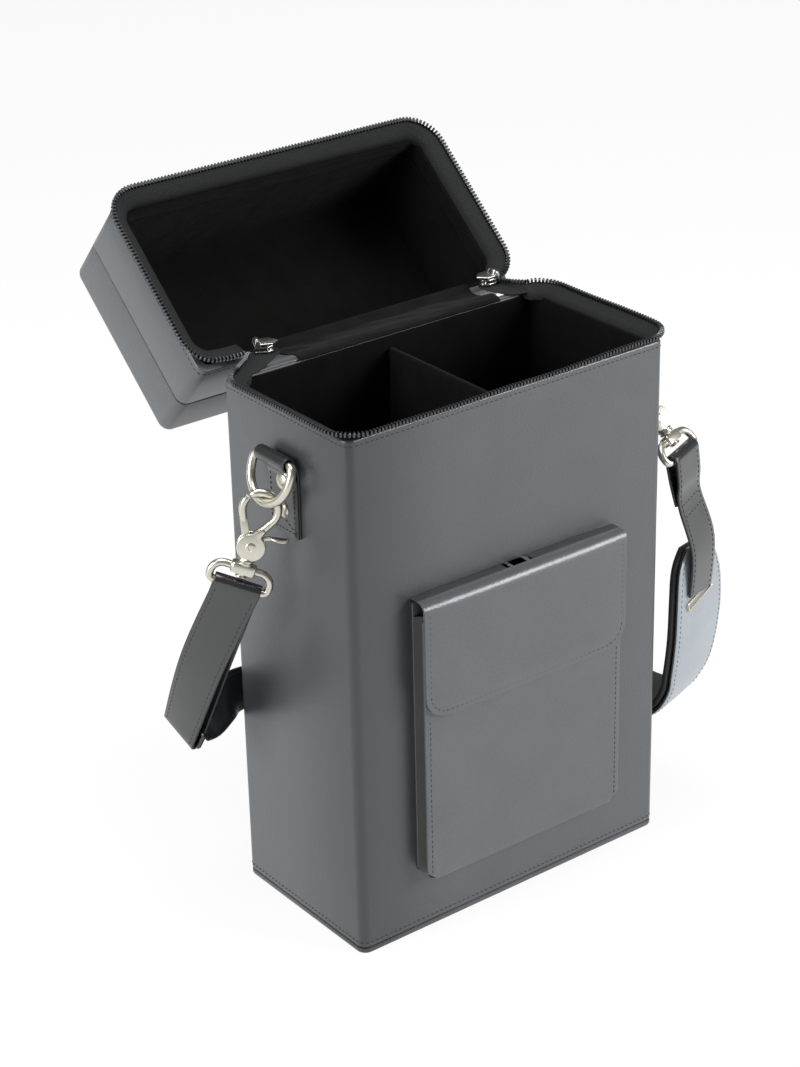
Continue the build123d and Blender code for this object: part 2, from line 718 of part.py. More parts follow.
def hook_parts(frame, side):
    """Hook body with its bow and swivel post, its rivet, and the gate with its thumb lever."""
    rivet = (hook_rivet_side, -hook_rivet_drop)
    rivet_point = frame.from_local_coords((*rivet, 0))
    rivet_plane = Plane(origin=rivet_point, x_dir=frame.x_dir, z_dir=frame.z_dir)
    down_plane = Plane(origin=rivet_point, x_dir=frame.x_dir, z_dir=-frame.y_dir)
    with BuildPart() as hook:
        with BuildSketch(frame.offset(-plate_half)):
            with Locations(rivet):
                Circle(hook_plate_radius)
        extrude(amount=hook_plate_thick)
        with BuildLine(frame) as arm:
            bow = CenterArc((0, -bow_drop), hook_bow, arm_start, arm_end - arm_start)
            PolarLine(bow @ 0, arm_straight, direction=(bow % 0) * -1)
        tip = frame.from_local_coords(
            (hook_bow * cos(radians(arm_end)), hook_bow * sin(radians(arm_end)) - bow_drop, 0)
        )
        heading = frame.x_dir * -sin(radians(arm_end)) + frame.y_dir * cos(radians(arm_end))
        with BuildSketch(Plane(origin=tip, z_dir=heading)):
            Circle(hook_wire)
        sweep(path=arm.line)
        with BuildSketch(down_plane.offset(collar_top)):
            Circle(collar_radius)
        extrude(amount=collar_length)
        with BuildSketch(down_plane.offset(collar_bottom)):
            Circle(post_radius)
        extrude(amount=post_end - collar_bottom)
        with BuildSketch(down_plane.offset(post_end)):
            Circle(post_radius + post_head)
        extrude(amount=post_head_thick)
        with BuildSketch(rivet_plane.offset(-slot_half)):
            Circle(gate_lug_radius + fit)
            for low, high, reach in gate_sweeps:
                with BuildLine():
                    PolarLine((0, 0), reach, angle=low)
                    CenterArc((0, 0), reach, low, high - low)
                    PolarLine((0, 0), reach, angle=high)
                make_face()
        extrude(amount=2 * slot_half, mode=Mode.SUBTRACT)
        with BuildSketch(frame.offset(-plate_half)):
            with Locations(rivet):
                Circle(hook_rivet_radius)
        extrude(amount=hook_plate_thick, mode=Mode.SUBTRACT)
    finish(hook, f"{side}_hook")
    with BuildPart() as pin:
        with BuildSketch(frame.offset(-plate_half)):
            with Locations(rivet):
                Circle(hook_rivet_radius - running_gap)
        extrude(amount=hook_plate_thick)
        with BuildSketch(frame.offset(plate_half), frame.offset(-plate_half - rivet_head_thick)):
            with Locations(rivet):
                Circle(hook_rivet_radius + rivet_head)
        extrude(amount=rivet_head_thick)
    finish(pin, f"{side}_hook_rivet")
    with BuildPart() as gate:
        with BuildSketch(frame.offset(-gate_thick / 2)):
            with Locations(rivet):
                Circle(gate_lug_radius)
            with BuildLine():
                Polyline(*gate_web, close=True)
            make_face()
            with BuildLine():
                Polyline(*lever_root, close=True)
            make_face()
            with Locations(rivet):
                Circle(hook_rivet_radius + running_gap, mode=Mode.SUBTRACT)
        extrude(amount=gate_thick)
        with BuildLine(frame) as finger:
            bow = CenterArc((0, -bow_drop), hook_bow, gate_end, gate_start - gate_end)
            PolarLine(bow @ 1, finger_straight, direction=bow % 1)
        tip = frame.from_local_coords(
            (hook_bow * cos(radians(gate_end)), hook_bow * sin(radians(gate_end)) - bow_drop, 0)
        )
        heading = frame.x_dir * -sin(radians(gate_end)) + frame.y_dir * cos(radians(gate_end))
        with BuildSketch(Plane(origin=tip, z_dir=heading)):
            Circle(hook_wire)
        sweep(path=finger.line)
        with BuildSketch(frame.offset(-lever_width / 2)):
            with BuildLine():
                Polyline(
                    (lever_start, lever_low),
                    (lever_start, lever_high),
                    (hook_rivet_side + lever_reach, lever_tip),
                    (hook_rivet_side + lever_reach, lever_tip - lever_thick),
                    close=True,
                )
            make_face()
        extrude(amount=lever_width)
    finish(gate, f"{side}_gate")
    return rivet_point


def swivel_eye(frame, rivet_point, along, side):
    """Eye that turns on the hook's post and holds the strap on its lower bar."""
    up = frame.y_dir
    side_dir = unit(along - up * along.dot(up))
    middle = rivet_point - up * block_middle
    plane = Plane(origin=middle, x_dir=side_dir, z_dir=side_dir.cross(up))
    half = strap_width / 2 + eye_side_play + eye_wire
    with BuildPart() as eye:
        with BuildLine(plane) as loop:
            FilletPolyline(
                (-half, 0),
                (half, 0),
                (half, -eye_drop),
                (-half, -eye_drop),
                radius=[eye_shoulder, eye_shoulder, eye_corner, eye_corner],
                close=True,
            )
        with BuildSketch(Plane(origin=loop.line @ 0, z_dir=loop.line % 0)):
            Circle(eye_wire)
        sweep(path=loop.line)
        with BuildSketch(plane.offset(-eye_block_thick / 2)):
            Rectangle(eye_block_length, eye_block_height)
        extrude(amount=eye_block_thick)
        with BuildSketch(Plane(origin=middle + up * eye_block_height, z_dir=-up)):
            Circle(post_radius + running_gap)
        extrude(amount=2 * eye_block_height, mode=Mode.SUBTRACT)
    finish(eye, f"{side}_eye")
    return plane, middle - up * eye_drop


def square_to(direction, axis):
    """The part of a direction that is square to an axis, as a unit vector."""
    return unit(direction - axis * direction.dot(axis))


def travel_at(centres, index):
    """Direction of a route at one of its centres."""
    before = centres[max(index - 1, 0)]
    after = centres[min(index + 1, len(centres) - 1)]
    return unit(after - before)


def section_planes(route):
    """One plane for each (centre, along) of a strap's route: X across the strap, Z along its run."""
    centres = [centre for centre, along in route]
    planes = []
    for index, (centre, along) in enumerate(route):
        travel = travel_at(centres, index)
        planes.append(Plane(origin=centre, x_dir=square_to(along, travel), z_dir=travel))
    return planes


def strap_loft(planes, width, thick):
    """Flat strap through its section planes."""
    with BuildPart(mode=Mode.PRIVATE) as strap:
        for plane in planes:
            with BuildSketch(plane):
                Rectangle(width, thick)
        loft(ruled=True)
    return strap.part


def bar_fold(bar, along, travel, inner):
    """Half turn of strap round a bar, on the side away from travel."""
    face = unit(travel.cross(along))
    outer = inner + strap_thick
    fold_plane = Plane(origin=bar - along * (strap_width / 2), x_dir=face, z_dir=along)
    away = -1 if fold_plane.y_dir.dot(travel) > 0 else 1
    with BuildPart(mode=Mode.PRIVATE) as fold:
        with BuildSketch(fold_plane):
            Circle(outer)
            Circle(inner, mode=Mode.SUBTRACT)
            with Locations((0, -away * outer)):
                Rectangle(4 * outer, 2 * outer, mode=Mode.SUBTRACT)
        extrude(amount=strap_width)
    return fold.part


def section(centre, along, travel):
    return Plane(origin=centre, x_dir=along, z_dir=travel)


# Left side: tab, ring, hook and eye
strap_tab(-1, "left")
d_ring(-1, left_ring_swing, "left")
left_hook = hook_frame(-1, left_ring_swing, left_ring_seat, left_hook_down, left_lever_out, left_lift)
left_rivet = hook_parts(left_hook, "left")
left_eye_plane, left_bar = swivel_eye(left_hook, left_rivet, left_eye_along, "left")

# Right side: tab, ring, hook and eye
strap_tab(1, "right")
d_ring(1, right_ring_swing, "right")
right_hook = hook_frame(1, right_ring_swing, right_ring_seat, right_hook_down, right_lever_out, right_lift)
right_rivet = hook_parts(right_hook, "right")
right_eye_plane, right_bar = swivel_eye(right_hook, right_rivet, right_eye_along, "right")

# Left end of the strap: doubled between the eye's bar and the slider's bar
eye_fold = eye_wire + strap_play
eye_half = eye_fold + strap_thick / 2
end_fold = bar_half * 1.5 + strap_play
end_half = end_fold + strap_thick / 2
left_travel = unit(left_loop_end - left_bar)
top_along = left_eye_plane.x_dir
top_travel = square_to(left_travel, top_along)
top_face = unit(top_travel.cross(top_along))
end_along = unit(left_loop_along)
end_travel = square_to(left_travel, end_along)
end_face = unit(end_travel.cross(end_along))
mid_point = (left_bar + left_loop_end) * 0.5 + left_loop_shift
mid_along = square_to(unit(top_along + end_along), left_travel)
mid_face = unit(left_travel.cross(mid_along))
with BuildPart() as left_strap_loop:
    add(bar_fold(left_bar, top_along, top_travel, eye_fold))
    add(bar_fold(left_loop_end, end_along, -end_travel, end_fold))
    for side in (1, -1):
        planes = [
            section(left_bar + top_face * (side * eye_half), top_along, top_travel),
            section(mid_point + mid_face * (side * (end_half + strap_bow)), mid_along, left_travel),
            section(left_loop_end + end_face * (side * end_half), end_along, end_travel),
        ]
        add(strap_loft(planes, strap_width, strap_thick))
finish(left_strap_loop, "left_strap_loop")

# Black slider: a flat frame whose lower bar lies in the strap's lower fold
with BuildPart() as strap_slider:
    window_half = strap_width / 2 + strap_play
    with BuildSketch(Plane(origin=left_loop_end - end_face * bar_half, x_dir=end_along, z_dir=end_face)):
        with Locations((0, bar_rise / 2)):
            Rectangle(2 * (window_half + bar_side), bar_rise + 2 * bar_half)
            Rectangle(2 * window_half, bar_rise - 2 * bar_half, mode=Mode.SUBTRACT)
    extrude(amount=2 * bar_half)
    fillet(strap_slider.edges().filter_by(Axis((0, 0, 0), end_face)).sort_by(Axis((0, 0, 0), end_along))[:2], 1.0)
    fillet(strap_slider.edges().filter_by(Axis((0, 0, 0), end_face)).sort_by(Axis((0, 0, 0), end_along))[-2:], 1.0)
finish(strap_slider, "strap_slider")

# Right end of the strap: folded over the eye's bar, with a short sewn tail behind
right_along = right_eye_plane.x_dir
right_travel = square_to(unit(right_slot - right_bar), right_along)
right_face = unit(right_travel.cross(right_along))
layer_half = strap_thick / 2 + strap_play / 2
sewn = right_bar + right_travel * tail_strap_length
slot_along = unit(right_slot_along)
slot_travel = square_to(right_travel, slot_along)
slot_face = unit(slot_travel.cross(slot_along))
right_mid = (sewn + right_slot) * 0.5 + right_strap_shift
with BuildPart() as right_strap:
    add(bar_fold(right_bar, right_along, right_travel, eye_fold))
    front_planes = [
        section(right_bar + right_face * eye_half, right_along, right_travel),
        section(sewn + right_face * layer_half, right_along, right_travel),
        section(right_mid, slot_along, slot_travel),
        section(right_slot + slot_face * (strap_thick / 2), slot_along, slot_travel),
    ]
    add(strap_loft(front_planes, strap_width, strap_thick))
    tail_planes = [
        section(right_bar - right_face * eye_half, right_along, right_travel),
        section(sewn - right_face * layer_half, right_along, right_travel),
    ]
    add(strap_loft(tail_planes, strap_width, strap_thick))
finish(right_strap, "right_strap")

# Shoulder pad: a leather face over a thicker cushion
right_wall = Vector(half_w, 0, 0)
pad_planes = section_planes([(right_wall + centre, along) for centre, along, width in pad_route])
pad_widths = [width for centre, along, width in pad_route]


def pad_layer(out, thick, label):
    """One layer of the pad, whose middle lies out from the route on the pad's face side."""
    with BuildPart() as layer:
        for plane, width in zip(pad_planes, pad_widths):
            with BuildSketch(plane):
                with Locations((0, out)):
                    RectangleRounded(width, thick, pad_edge_round)
        loft(ruled=True)
    finish(layer, label)


pad_layer((pad_cushion_thick + fit) / 2, pad_face_thick, "pad_face")
pad_layer(-(pad_face_thick + fit) / 2, pad_cushion_thick, "pad_cushion")

# Metal trims of the two slots where the strap goes into the pad
pad_face_out = (pad_cushion_thick + fit) / 2 + pad_face_thick / 2
with BuildPart() as pad_trims:
    low_plane = pad_planes[-2]
    trims = [
        Plane(origin=right_slot, x_dir=slot_along, z_dir=slot_face),
        Plane(
            origin=low_plane.origin + low_plane.y_dir * (pad_face_out + fit),
            x_dir=low_plane.x_dir,
            z_dir=low_plane.y_dir,
        ),
    ]
    for trim in trims:
        with BuildSketch(trim):
            with Locations((0, -trim_height / 2)):
                Rectangle(strap_width + 2 * strap_play + 2 * trim_rim, trim_height)
                Rectangle(strap_width + 2 * strap_play, trim_height - 2 * trim_rim, mode=Mode.SUBTRACT)
        extrude(amount=trim_thick)
finish(pad_trims, "pad_trims")

# Strap behind the case, from the left slider to the pad's lower end
back_start = left_loop_end - end_face * (end_half + strap_thick + strap_bow)
back_planes = section_planes([(back_start, end_along)] + back_route)
with BuildPart() as back_strap:
    add(strap_loft(back_planes, strap_width, strap_thick))
finish(back_strap, "back_strap")
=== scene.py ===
from math import cos, pi, radians, sin, sqrt, tanh

import bmesh
import bpy
from mathutils import Matrix, Vector


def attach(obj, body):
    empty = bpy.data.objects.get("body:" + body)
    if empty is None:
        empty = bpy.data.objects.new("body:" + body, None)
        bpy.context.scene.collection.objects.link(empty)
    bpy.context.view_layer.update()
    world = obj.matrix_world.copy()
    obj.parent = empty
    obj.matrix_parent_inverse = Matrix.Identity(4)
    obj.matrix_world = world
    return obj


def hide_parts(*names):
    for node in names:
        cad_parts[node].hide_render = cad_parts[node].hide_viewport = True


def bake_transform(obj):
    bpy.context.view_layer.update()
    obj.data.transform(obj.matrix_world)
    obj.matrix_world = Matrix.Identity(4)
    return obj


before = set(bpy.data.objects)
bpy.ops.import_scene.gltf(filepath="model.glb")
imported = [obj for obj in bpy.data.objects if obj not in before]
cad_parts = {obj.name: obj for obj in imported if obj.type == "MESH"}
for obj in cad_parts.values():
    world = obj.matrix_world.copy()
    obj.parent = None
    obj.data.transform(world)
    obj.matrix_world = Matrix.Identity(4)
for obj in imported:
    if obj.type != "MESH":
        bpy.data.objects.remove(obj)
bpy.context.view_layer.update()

# Shapes are drawn in millimetres and go to metres when a piece is made.
MM = 0.001
half_w = 100.0
half_d = 51.5
wall_corner = 5.0
rim = 286.5
lining_w = 95.5
lining_d = 47.0
lining_corner = 2.0
room_d = 46.2
middle_y = -0.5
strap_width = 24.0
strap_thick = 1.5
row_inset = 2.4

SOCKETS = {
    "base_color": "Base Color",
    "roughness": "Roughness",
    "metallic": "Metallic",
    "normal": "Normal",
    "specular": "Specular IOR Level",
    "coat_weight": "Coat Weight",
    "coat_roughness": "Coat Roughness",
    "sheen_weight": "Sheen Weight",
    "sheen_roughness": "Sheen Roughness",
}


class Signal:
    """One output in a material. Sums on signals add their own Math nodes."""

    def __init__(self, paint, socket):
        self.paint = paint
        self.socket = socket

    def __add__(self, other):
        return self.paint.maths("ADD", self, other)

    def __radd__(self, other):
        return self.paint.maths("ADD", other, self)

    def __mul__(self, other):
        return self.paint.maths("MULTIPLY", self, other)

    def __rmul__(self, other):
        return self.paint.maths("MULTIPLY", other, self)


class Paint:
    """A material while its nodes are being wired."""

    def __init__(self, name, **constant):
        self.material = bpy.data.materials.new(name)
        self.material.use_nodes = True
        self.tree = self.material.node_tree
        self.shader = self.tree.nodes["Principled BSDF"]
        for socket, value in constant.items():
            self.shader.inputs[SOCKETS[socket]].default_value = value
        self.place = self.node("ShaderNodeTexCoord", {}, {}, "Object")

    def node(self, kind, settings, inputs, output=0):
        """Add a node: settings first, then socket values or links."""
        made = self.tree.nodes.new(kind)
        for key, value in settings.items():
            setattr(made, key, value)
        for key, value in inputs.items():
            self.plug(made.inputs[key], value)
        return Signal(self, made.outputs[output])

    def plug(self, socket, value):
        if isinstance(value, Signal):
            self.tree.links.new(value.socket, socket)
        else:
            socket.default_value = value

    def maths(self, operation, first, second):
        return self.node("ShaderNodeMath", {"operation": operation}, {0: first, 1: second})

    def noise(self, scale, detail=2.0):
        return self.node("ShaderNodeTexNoise", {}, {"Vector": self.place, "Scale": scale, "Detail": detail})

    def between(self, signal, low, high):
        """0 below low, 1 above high, and a smooth step between them."""
        inputs = {"Value": signal, "From Min": low, "From Max": high}
        return self.node("ShaderNodeMapRange", {"interpolation_type": "SMOOTHSTEP"}, inputs)

    def tint(self, mask, first, second):
        """First colour where the mask is 0 and second where it is 1."""
        return self.node("ShaderNodeMix", {"data_type": "RGBA"}, {0: mask, 6: first, 7: second}, 2)

    def bump(self, height, distance, below=None):
        inputs = {"Height": height, "Distance": distance, "Strength": 1.0}
        if below:
            inputs["Normal"] = below
        return self.node("ShaderNodeBump", {}, inputs)

    def part(self, axis, where=None):
        """One number of a position: 0, 1 or 2."""
        return self.node("ShaderNodeSeparateXYZ", {}, {0: where or self.place}, axis)

    def use(self, **varying):
        """Feed the shader and give the finished material."""
        for socket, value in varying.items():
            self.plug(self.shader.inputs[SOCKETS[socket]], value)
        return self.material


def shade(value, warmth=0.0):
    """Colour of a grey with a little warmth, or coolness below 0."""
    return (value * (1 + warmth), value, value * (1 - warmth), 1.0)


def leather(name, grey, rough, pebble=900.0, depth=0.00006, swell=0.0005, corner=None, coat=0.0):
    """Embossed bonded leather: fine pebbles over soft swells, with duller and cleaner places. Given corner,
    painted shade darkens the upright corners and the front left.
    """
    paint = Paint(name, specular=0.75, coat_weight=coat, coat_roughness=0.2)
    spread = {"Vector": paint.place, "Scale": pebble, "Smoothness": 0.5}
    cells = paint.node("ShaderNodeTexVoronoi", {"feature": "SMOOTH_F1"}, spread)
    pores = paint.noise(pebble * 2.6, 2.0)
    swells = paint.noise(16.0, 2.0)
    patches = paint.noise(34.0, 3.0)
    tone = paint.tint(patches * 0.7 + cells * 0.5, shade(grey * 0.8, -0.1), shade(grey * 1.2, -0.1))
    if corner:
        # Painted shade: a dark line along each upright corner, then a wide zone of painted shade at the front
        # left one
        corner_shade_width, front_left_shade_wide, front_left_shade_deep = 0.0065, 0.07, 0.08
        # Painted shade in a narrow line along every upright corner of the case
        corner_shade_x = paint.between(paint.maths("ABSOLUTE", paint.part(0), 0.0), corner[0] - corner_shade_width, corner[0])
        corner_shade_y = paint.between(paint.maths("ABSOLUTE", paint.part(1), 0.0), corner[1] - corner_shade_width, corner[1])
        tone = paint.tint(corner_shade_x * corner_shade_y * 0.7, tone, shade(grey * 0.3, -0.04))
        # Painted shade over the front left of the case, darker towards that upright corner
        front_left_shade_x = paint.between(-1.0 * paint.part(0), corner[0] - front_left_shade_wide, corner[0])
        front_left_shade_y = paint.between(-1.0 * paint.part(1), corner[1] - front_left_shade_deep, corner[1])
        tone = paint.tint(front_left_shade_x * front_left_shade_y * 0.75, tone, shade(grey * 0.25, -0.04))
    soft = paint.bump(swells, swell)
    grain = paint.bump(cells + pores * 0.5, depth, soft)
    return paint.use(base_color=tone, roughness=rough - 0.05 + patches * 0.1, normal=grain)


def velvet(name, grey, warmth):
    """Short dense pile, crushed darker and lighter in soft patches."""
    paint = Paint(name, sheen_weight=0.03, sheen_roughness=0.4, specular=0.08)
    pile = paint.noise(2400.0, 2.0)
    crushed = paint.noise(70.0, 4.0)
    lint = paint.between(paint.noise(620.0, 1.0), 0.79, 0.83)
    tone = paint.tint(crushed, shade(grey * 0.45, warmth), shade(grey * 1.6, warmth))
    tone = paint.tint(lint * 0.35, tone, shade(0.05))
    soft = paint.bump(crushed, 0.0012)
    return paint.use(base_color=tone, roughness=0.84 + pile * 0.16, normal=paint.bump(pile, 0.0003, soft))


def woven_tape(name):
    """Zip tape: ribs run along it and slanted threads cross them."""
    paint = Paint(name, specular=0.22)
    run = paint.node("ShaderNodeAttribute", {"attribute_name": "run"}, {}, "Vector")
    ahead = paint.part(0, run)
    side = paint.part(1, run)
    rib_pitch, thread_pitch = 0.00085, 0.0007
    rib = paint.maths("SINE", side * (2 * pi / rib_pitch), 0.0)
    slant = paint.maths("SINE", (ahead + side * 0.8) * (2 * pi / thread_pitch), 0.0)
    weave = rib * 0.6 + slant * 0.4
    fuzz = paint.noise(3000.0, 2.0)
    tone = paint.tint(weave * 0.5 + 0.5, shade(0.002), shade(0.02, -0.05))
    relief = paint.bump(weave * 0.5 + fuzz * 0.3, 0.0002)
    return paint.use(base_color=tone, roughness=0.62 + fuzz * 0.2, normal=relief)


def satin_metal(name, colour, rough, brushed=0.05, dull=0.5):
    """Cast and tumbled metal: tiny dimples, faint tarnish in patches."""
    paint = Paint(name, metallic=1.0)
    dimples = paint.noise(1500.0, 3.0)
    tarnish = paint.noise(160.0, 3.0)
    tone = paint.tint(tarnish * dull, colour, tuple(c * 0.72 for c in colour[:3]) + (1.0,))
    uneven = rough - brushed + dimples * 2 * brushed
    return paint.use(base_color=tone, roughness=uneven, normal=paint.bump(dimples, 0.00003))


def speckled(name, specular, scale, detail, tones, rough, relief):
    """Plain finish whose fine grain changes its tone, roughness (lowest and range) and height."""
    paint = Paint(name, specular=specular)
    grain = paint.noise(scale, detail)
    tone = paint.tint(grain, *tones)
    return paint.use(base_color=tone, roughness=rough[0] + grain * rough[1], normal=paint.bump(grain, relief))


def gloss_bar(name):
    """Black moulded bar with a slight orange-peel gloss."""
    paint = Paint(name, coat_weight=0.5, coat_roughness=0.12)
    peel = paint.noise(420.0, 2.0)
    scuffs = paint.between(paint.noise(260.0, 4.0), 0.55, 0.75)
    tone = paint.tint(scuffs, shade(0.006), shade(0.018))
    return paint.use(base_color=tone, roughness=0.22 + scuffs * 0.25, normal=paint.bump(peel, 0.00006))


# The case's leather carries painted shade along its upright corners and at its front left
case_hide = leather("case_leather_finish", 0.062, 0.36, corner=(half_w * MM, half_d * MM))
lid_hide = leather("lid_leather_finish", 0.08, 0.36)
pocket_hide = leather("pocket_leather_finish", 0.075, 0.34, swell=0.0009)
strap_hide = leather("strap_leather_finish", 0.012, 0.2, pebble=1300.0, swell=0.0012, coat=0.5)
tab_hide = leather("tab_leather_finish", 0.014, 0.28, pebble=1300.0, coat=0.3)
pad_hide = leather("pad_leather_finish", 0.26, 0.3, pebble=1100.0, swell=0.0005)
cushion_hide = leather("pad_backing_finish", 0.012, 0.6, pebble=1000.0)
gusset_hide = leather("gusset_leather_finish", 0.006, 0.5)
edge_paint = leather("painted_edge_finish", 0.012, 0.45, pebble=2200.0)
lining_pile = velvet("lining_velvet", 0.0035, 0.04)
hinge_pile = velvet("hinge_velvet", 0.005, 0.0)
tape_weave = woven_tape("zip_tape_weave")
tooth_metal = satin_metal("zip_tooth_metal", (0.11, 0.115, 0.12, 1.0), 0.3)
nickel = satin_metal("satin_nickel", (0.69, 0.665, 0.58, 1.0), 0.3)
slider_metal = satin_metal("slider_nickel", (0.6, 0.6, 0.58, 1.0), 0.28)
trim_metal = satin_metal("slot_trim_metal", (0.7, 0.64, 0.46, 1.0), 0.25)
snap_metal = satin_metal("snap_steel", (0.5, 0.5, 0.5, 1.0), 0.35)
thread_tones = (shade(0.016 * 0.6), shade(0.016 * 1.5))
seam_thread = speckled("seam_thread", 0.4, 3500.0, 1.0, thread_tones, (0.5, 0.2), 0.00008)
board_tones = (shade(0.16, 0.04), shade(0.3, 0.06))
board_paper = speckled("greyboard", 0.2, 1200.0, 4.0, board_tones, (0.85, 0.1), 0.0001)
slider_gloss = gloss_bar("black_slider_gloss")


def frame_of(origin, ahead, up):
    """Place whose X is ahead and whose Y is up, with Z square to both."""
    x_axis = Vector(ahead).normalized()
    y_axis = (Vector(up) - x_axis * Vector(up).dot(x_axis)).normalized()
    z_axis = x_axis.cross(y_axis)
    place = Matrix((x_axis, y_axis, z_axis)).transposed().to_4x4()
    place.translation = Vector(origin)
    return place


# The lid stands tipped back on its hinge, as far as its open stop
hinge_origin = Vector((0, 109.1817, 316.9563))
lid_up = (0, -0.7501, -0.6613)
lid_place = frame_of(hinge_origin, (1, 0, 0), lid_up)


def made(shape, name, finish, body, nodes=(), slot=None, place=None, sharp=42.0):
    """Turn a drawn shape into a finished piece on its body, in place of the plain nodes it covers."""
    if place is not None:
        bmesh.ops.transform(shape, matrix=place, verts=shape.verts)
    bmesh.ops.scale(shape, vec=(MM, MM, MM), verts=shape.verts)
    bmesh.ops.recalc_face_normals(shape, faces=shape.faces)
    for face in shape.faces:
        face.smooth = True
    for edge in shape.edges:
        edge.smooth = edge.calc_face_angle(0.0) < radians(sharp)
    mesh = bpy.data.meshes.new(name)
    shape.to_mesh(mesh)
    shape.free()
    piece = bpy.data.objects.new(name, mesh)
    bpy.context.collection.objects.link(piece)
    for material in finish if isinstance(finish, list) else [finish]:
        mesh.materials.append(material)
    if body:
        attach(piece, body)
    if nodes:
        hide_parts(*nodes)
    return piece


def softened(shape, parts, offset, segments, affect="EDGES", clamp=False):
    """Round some corner points or edges of a shape."""
    bmesh.ops.bevel(
        shape,
        geom=parts,
        offset=offset,
        offset_type="OFFSET",
        segments=segments,
        profile=0.5,
        affect=affect,
        clamp_overlap=clamp,
        material=-1,
    )


def sharp_edges(shape, degrees):
    """Edges whose two faces turn by more than an angle."""
    return [line for line in shape.edges if line.calc_face_angle(0.0) > radians(degrees)]


def points_in(parts):
    return [part for part in parts if isinstance(part, bmesh.types.BMVert)]


def edges_in(parts):
    return [part for part in parts if isinstance(part, bmesh.types.BMEdge)]


def extended(shape, edges):
    """Draw a run of edges ahead: the new points, and the edges between them."""
    grown = bmesh.ops.extrude_edge_only(shape, edges=edges)["geom"]
    points = points_in(grown)
    fresh = set(points)
    return points, [line for line in edges_in(grown) if fresh.issuperset(line.verts)]


def hoop(half_x, half_y, radius, height, steps=6):
    """Level rounded rectangle of edges."""
    shape = bmesh.new()
    bmesh.ops.create_grid(shape, x_segments=1, y_segments=1, size=1.0)
    bmesh.ops.scale(shape, vec=(half_x, half_y, 1.0), verts=shape.verts)
    softened(shape, shape.verts[:], radius, steps, "VERTICES")
    bmesh.ops.translate(shape, vec=(0, 0, height), verts=shape.verts)
    bmesh.ops.delete(shape, geom=shape.faces[:], context="FACES_ONLY")
    return shape


def boxed_skin(half_x, half_y, radius, rings, closing, steps=6):
    """Skin of a box through level rings of (inset, height). It closes on itself or with end faces."""
    inset, height = rings[0]
    shape = hoop(half_x - inset, half_y - inset, radius, height, steps)
    first = shape.edges[:]
    edges = first
    for next_inset, next_height in rings[1:]:
        points, edges = extended(shape, edges)
        wide = (half_x - next_inset) / (half_x - inset)
        deep = (half_y - next_inset) / (half_y - inset)
        bmesh.ops.scale(shape, vec=(wide, deep, 1.0), verts=points)
        bmesh.ops.translate(shape, vec=(0, 0, next_height - height), verts=points)
        inset, height = next_inset, next_height
    if closing == "round":
        bmesh.ops.bridge_loops(shape, edges=first + edges)
    else:
        bmesh.ops.contextual_create(shape, geom=first)
        bmesh.ops.contextual_create(shape, geom=edges)
    return shape


def rounded_run(half_x, half_y, radius, height, steps=6):
    """Points and outward directions round a rounded rectangle, for rows of stitches."""
    run = []
    for corner, (side_x, side_y) in enumerate([(1, 1), (-1, 1), (-1, -1), (1, -1)]):
        centre = Vector((side_x * (half_x - radius), side_y * (half_y - radius), height))
        for step in range(steps + 1):
            angle = radians(90 * (corner + step / steps))
            out = Vector((cos(angle), sin(angle), 0))
            run.append((centre + out * radius, out))
    run.append(run[0])
    return run


def evenly(run, pitch):
    """Points at an even pitch along a run of (point, out), as (point, ahead, out)."""
    spots = []
    carried = pitch / 2
    for (start, out), (end, next_out) in zip(run, run[1:]):
        length = (end - start).length
        if length < 1e-6:
            continue
        while carried < length:
            share = carried / length
            spots.append((start.lerp(end, share), (end - start).normalized(), out.lerp(next_out, share)))
            carried += pitch
        carried -= length
    return spots


def repeated(pattern, spots):
    """One mesh with the pattern at every spot."""
    template = bpy.data.meshes.new("template")
    pattern.to_mesh(template)
    pattern.free()
    shape = bmesh.new()
    for spot in spots:
        template.transform(spot)
        shape.from_mesh(template)
        template.transform(spot.inverted())
    bpy.data.meshes.remove(template)
    return shape


def stitches(runs, name, body, place=None, pitch=3.0, length=2.1, thick=0.4, proud=0.06):
    """Rows of sewn stitches, each a small flattened bead of thread."""
    bead = bmesh.new()
    size = Matrix.Diagonal((length / 2, thick / 2, thick / 2, 1.0))
    bmesh.ops.create_uvsphere(bead, u_segments=6, v_segments=4, radius=1.0, matrix=size)
    spots = []
    for run in runs:
        spots += [frame_of(point + out * proud, ahead, out) for point, ahead, out in evenly(run, pitch)]
    return made(repeated(bead, spots), name, seam_thread, body, place=place, sharp=80.0)


# Case: the rings of a skin are pairs of inset and height
base_rings = [(1.3, 1.25), (1.3, 3.0), (0.7, 3.2), (0.15, 2.85), (0.0, 2.2)]
base_rings += [(0.0, 1.0), (0.3, 0.3), (1.0, 0.0)]
base = boxed_skin(half_w, half_d, wall_corner, base_rings, "ends")
made(base, "base_cover_leather", case_hide, "case", ["base_cover"], "leather")

wrap_rings = [
    (1.25, 3.6), (0.6, 3.6), (0.12, 3.95), (0.0, 4.8), (0.0, 60.0), (0.0, 140.0), (0.0, 220.0),
    (0.0, 285.3), (0.12, 285.9), (0.5, 286.35), (1.1, 286.5), (3.2, 286.5), (3.6, 286.35), (3.7, 286.0),
    (3.7, 285.3), (1.25, 285.2),
]
wrap = boxed_skin(half_w, half_d, wall_corner, wrap_rings, "round")
made(wrap, "case_wrap_leather", case_hide, "case", ["case_leather"], "leather")
wrap_seams = [rounded_run(half_w, half_d, wall_corner, height) for height in (rim - 3.2, 6.4)]
stitches(wrap_seams, "case_wrap_stitches", "case")

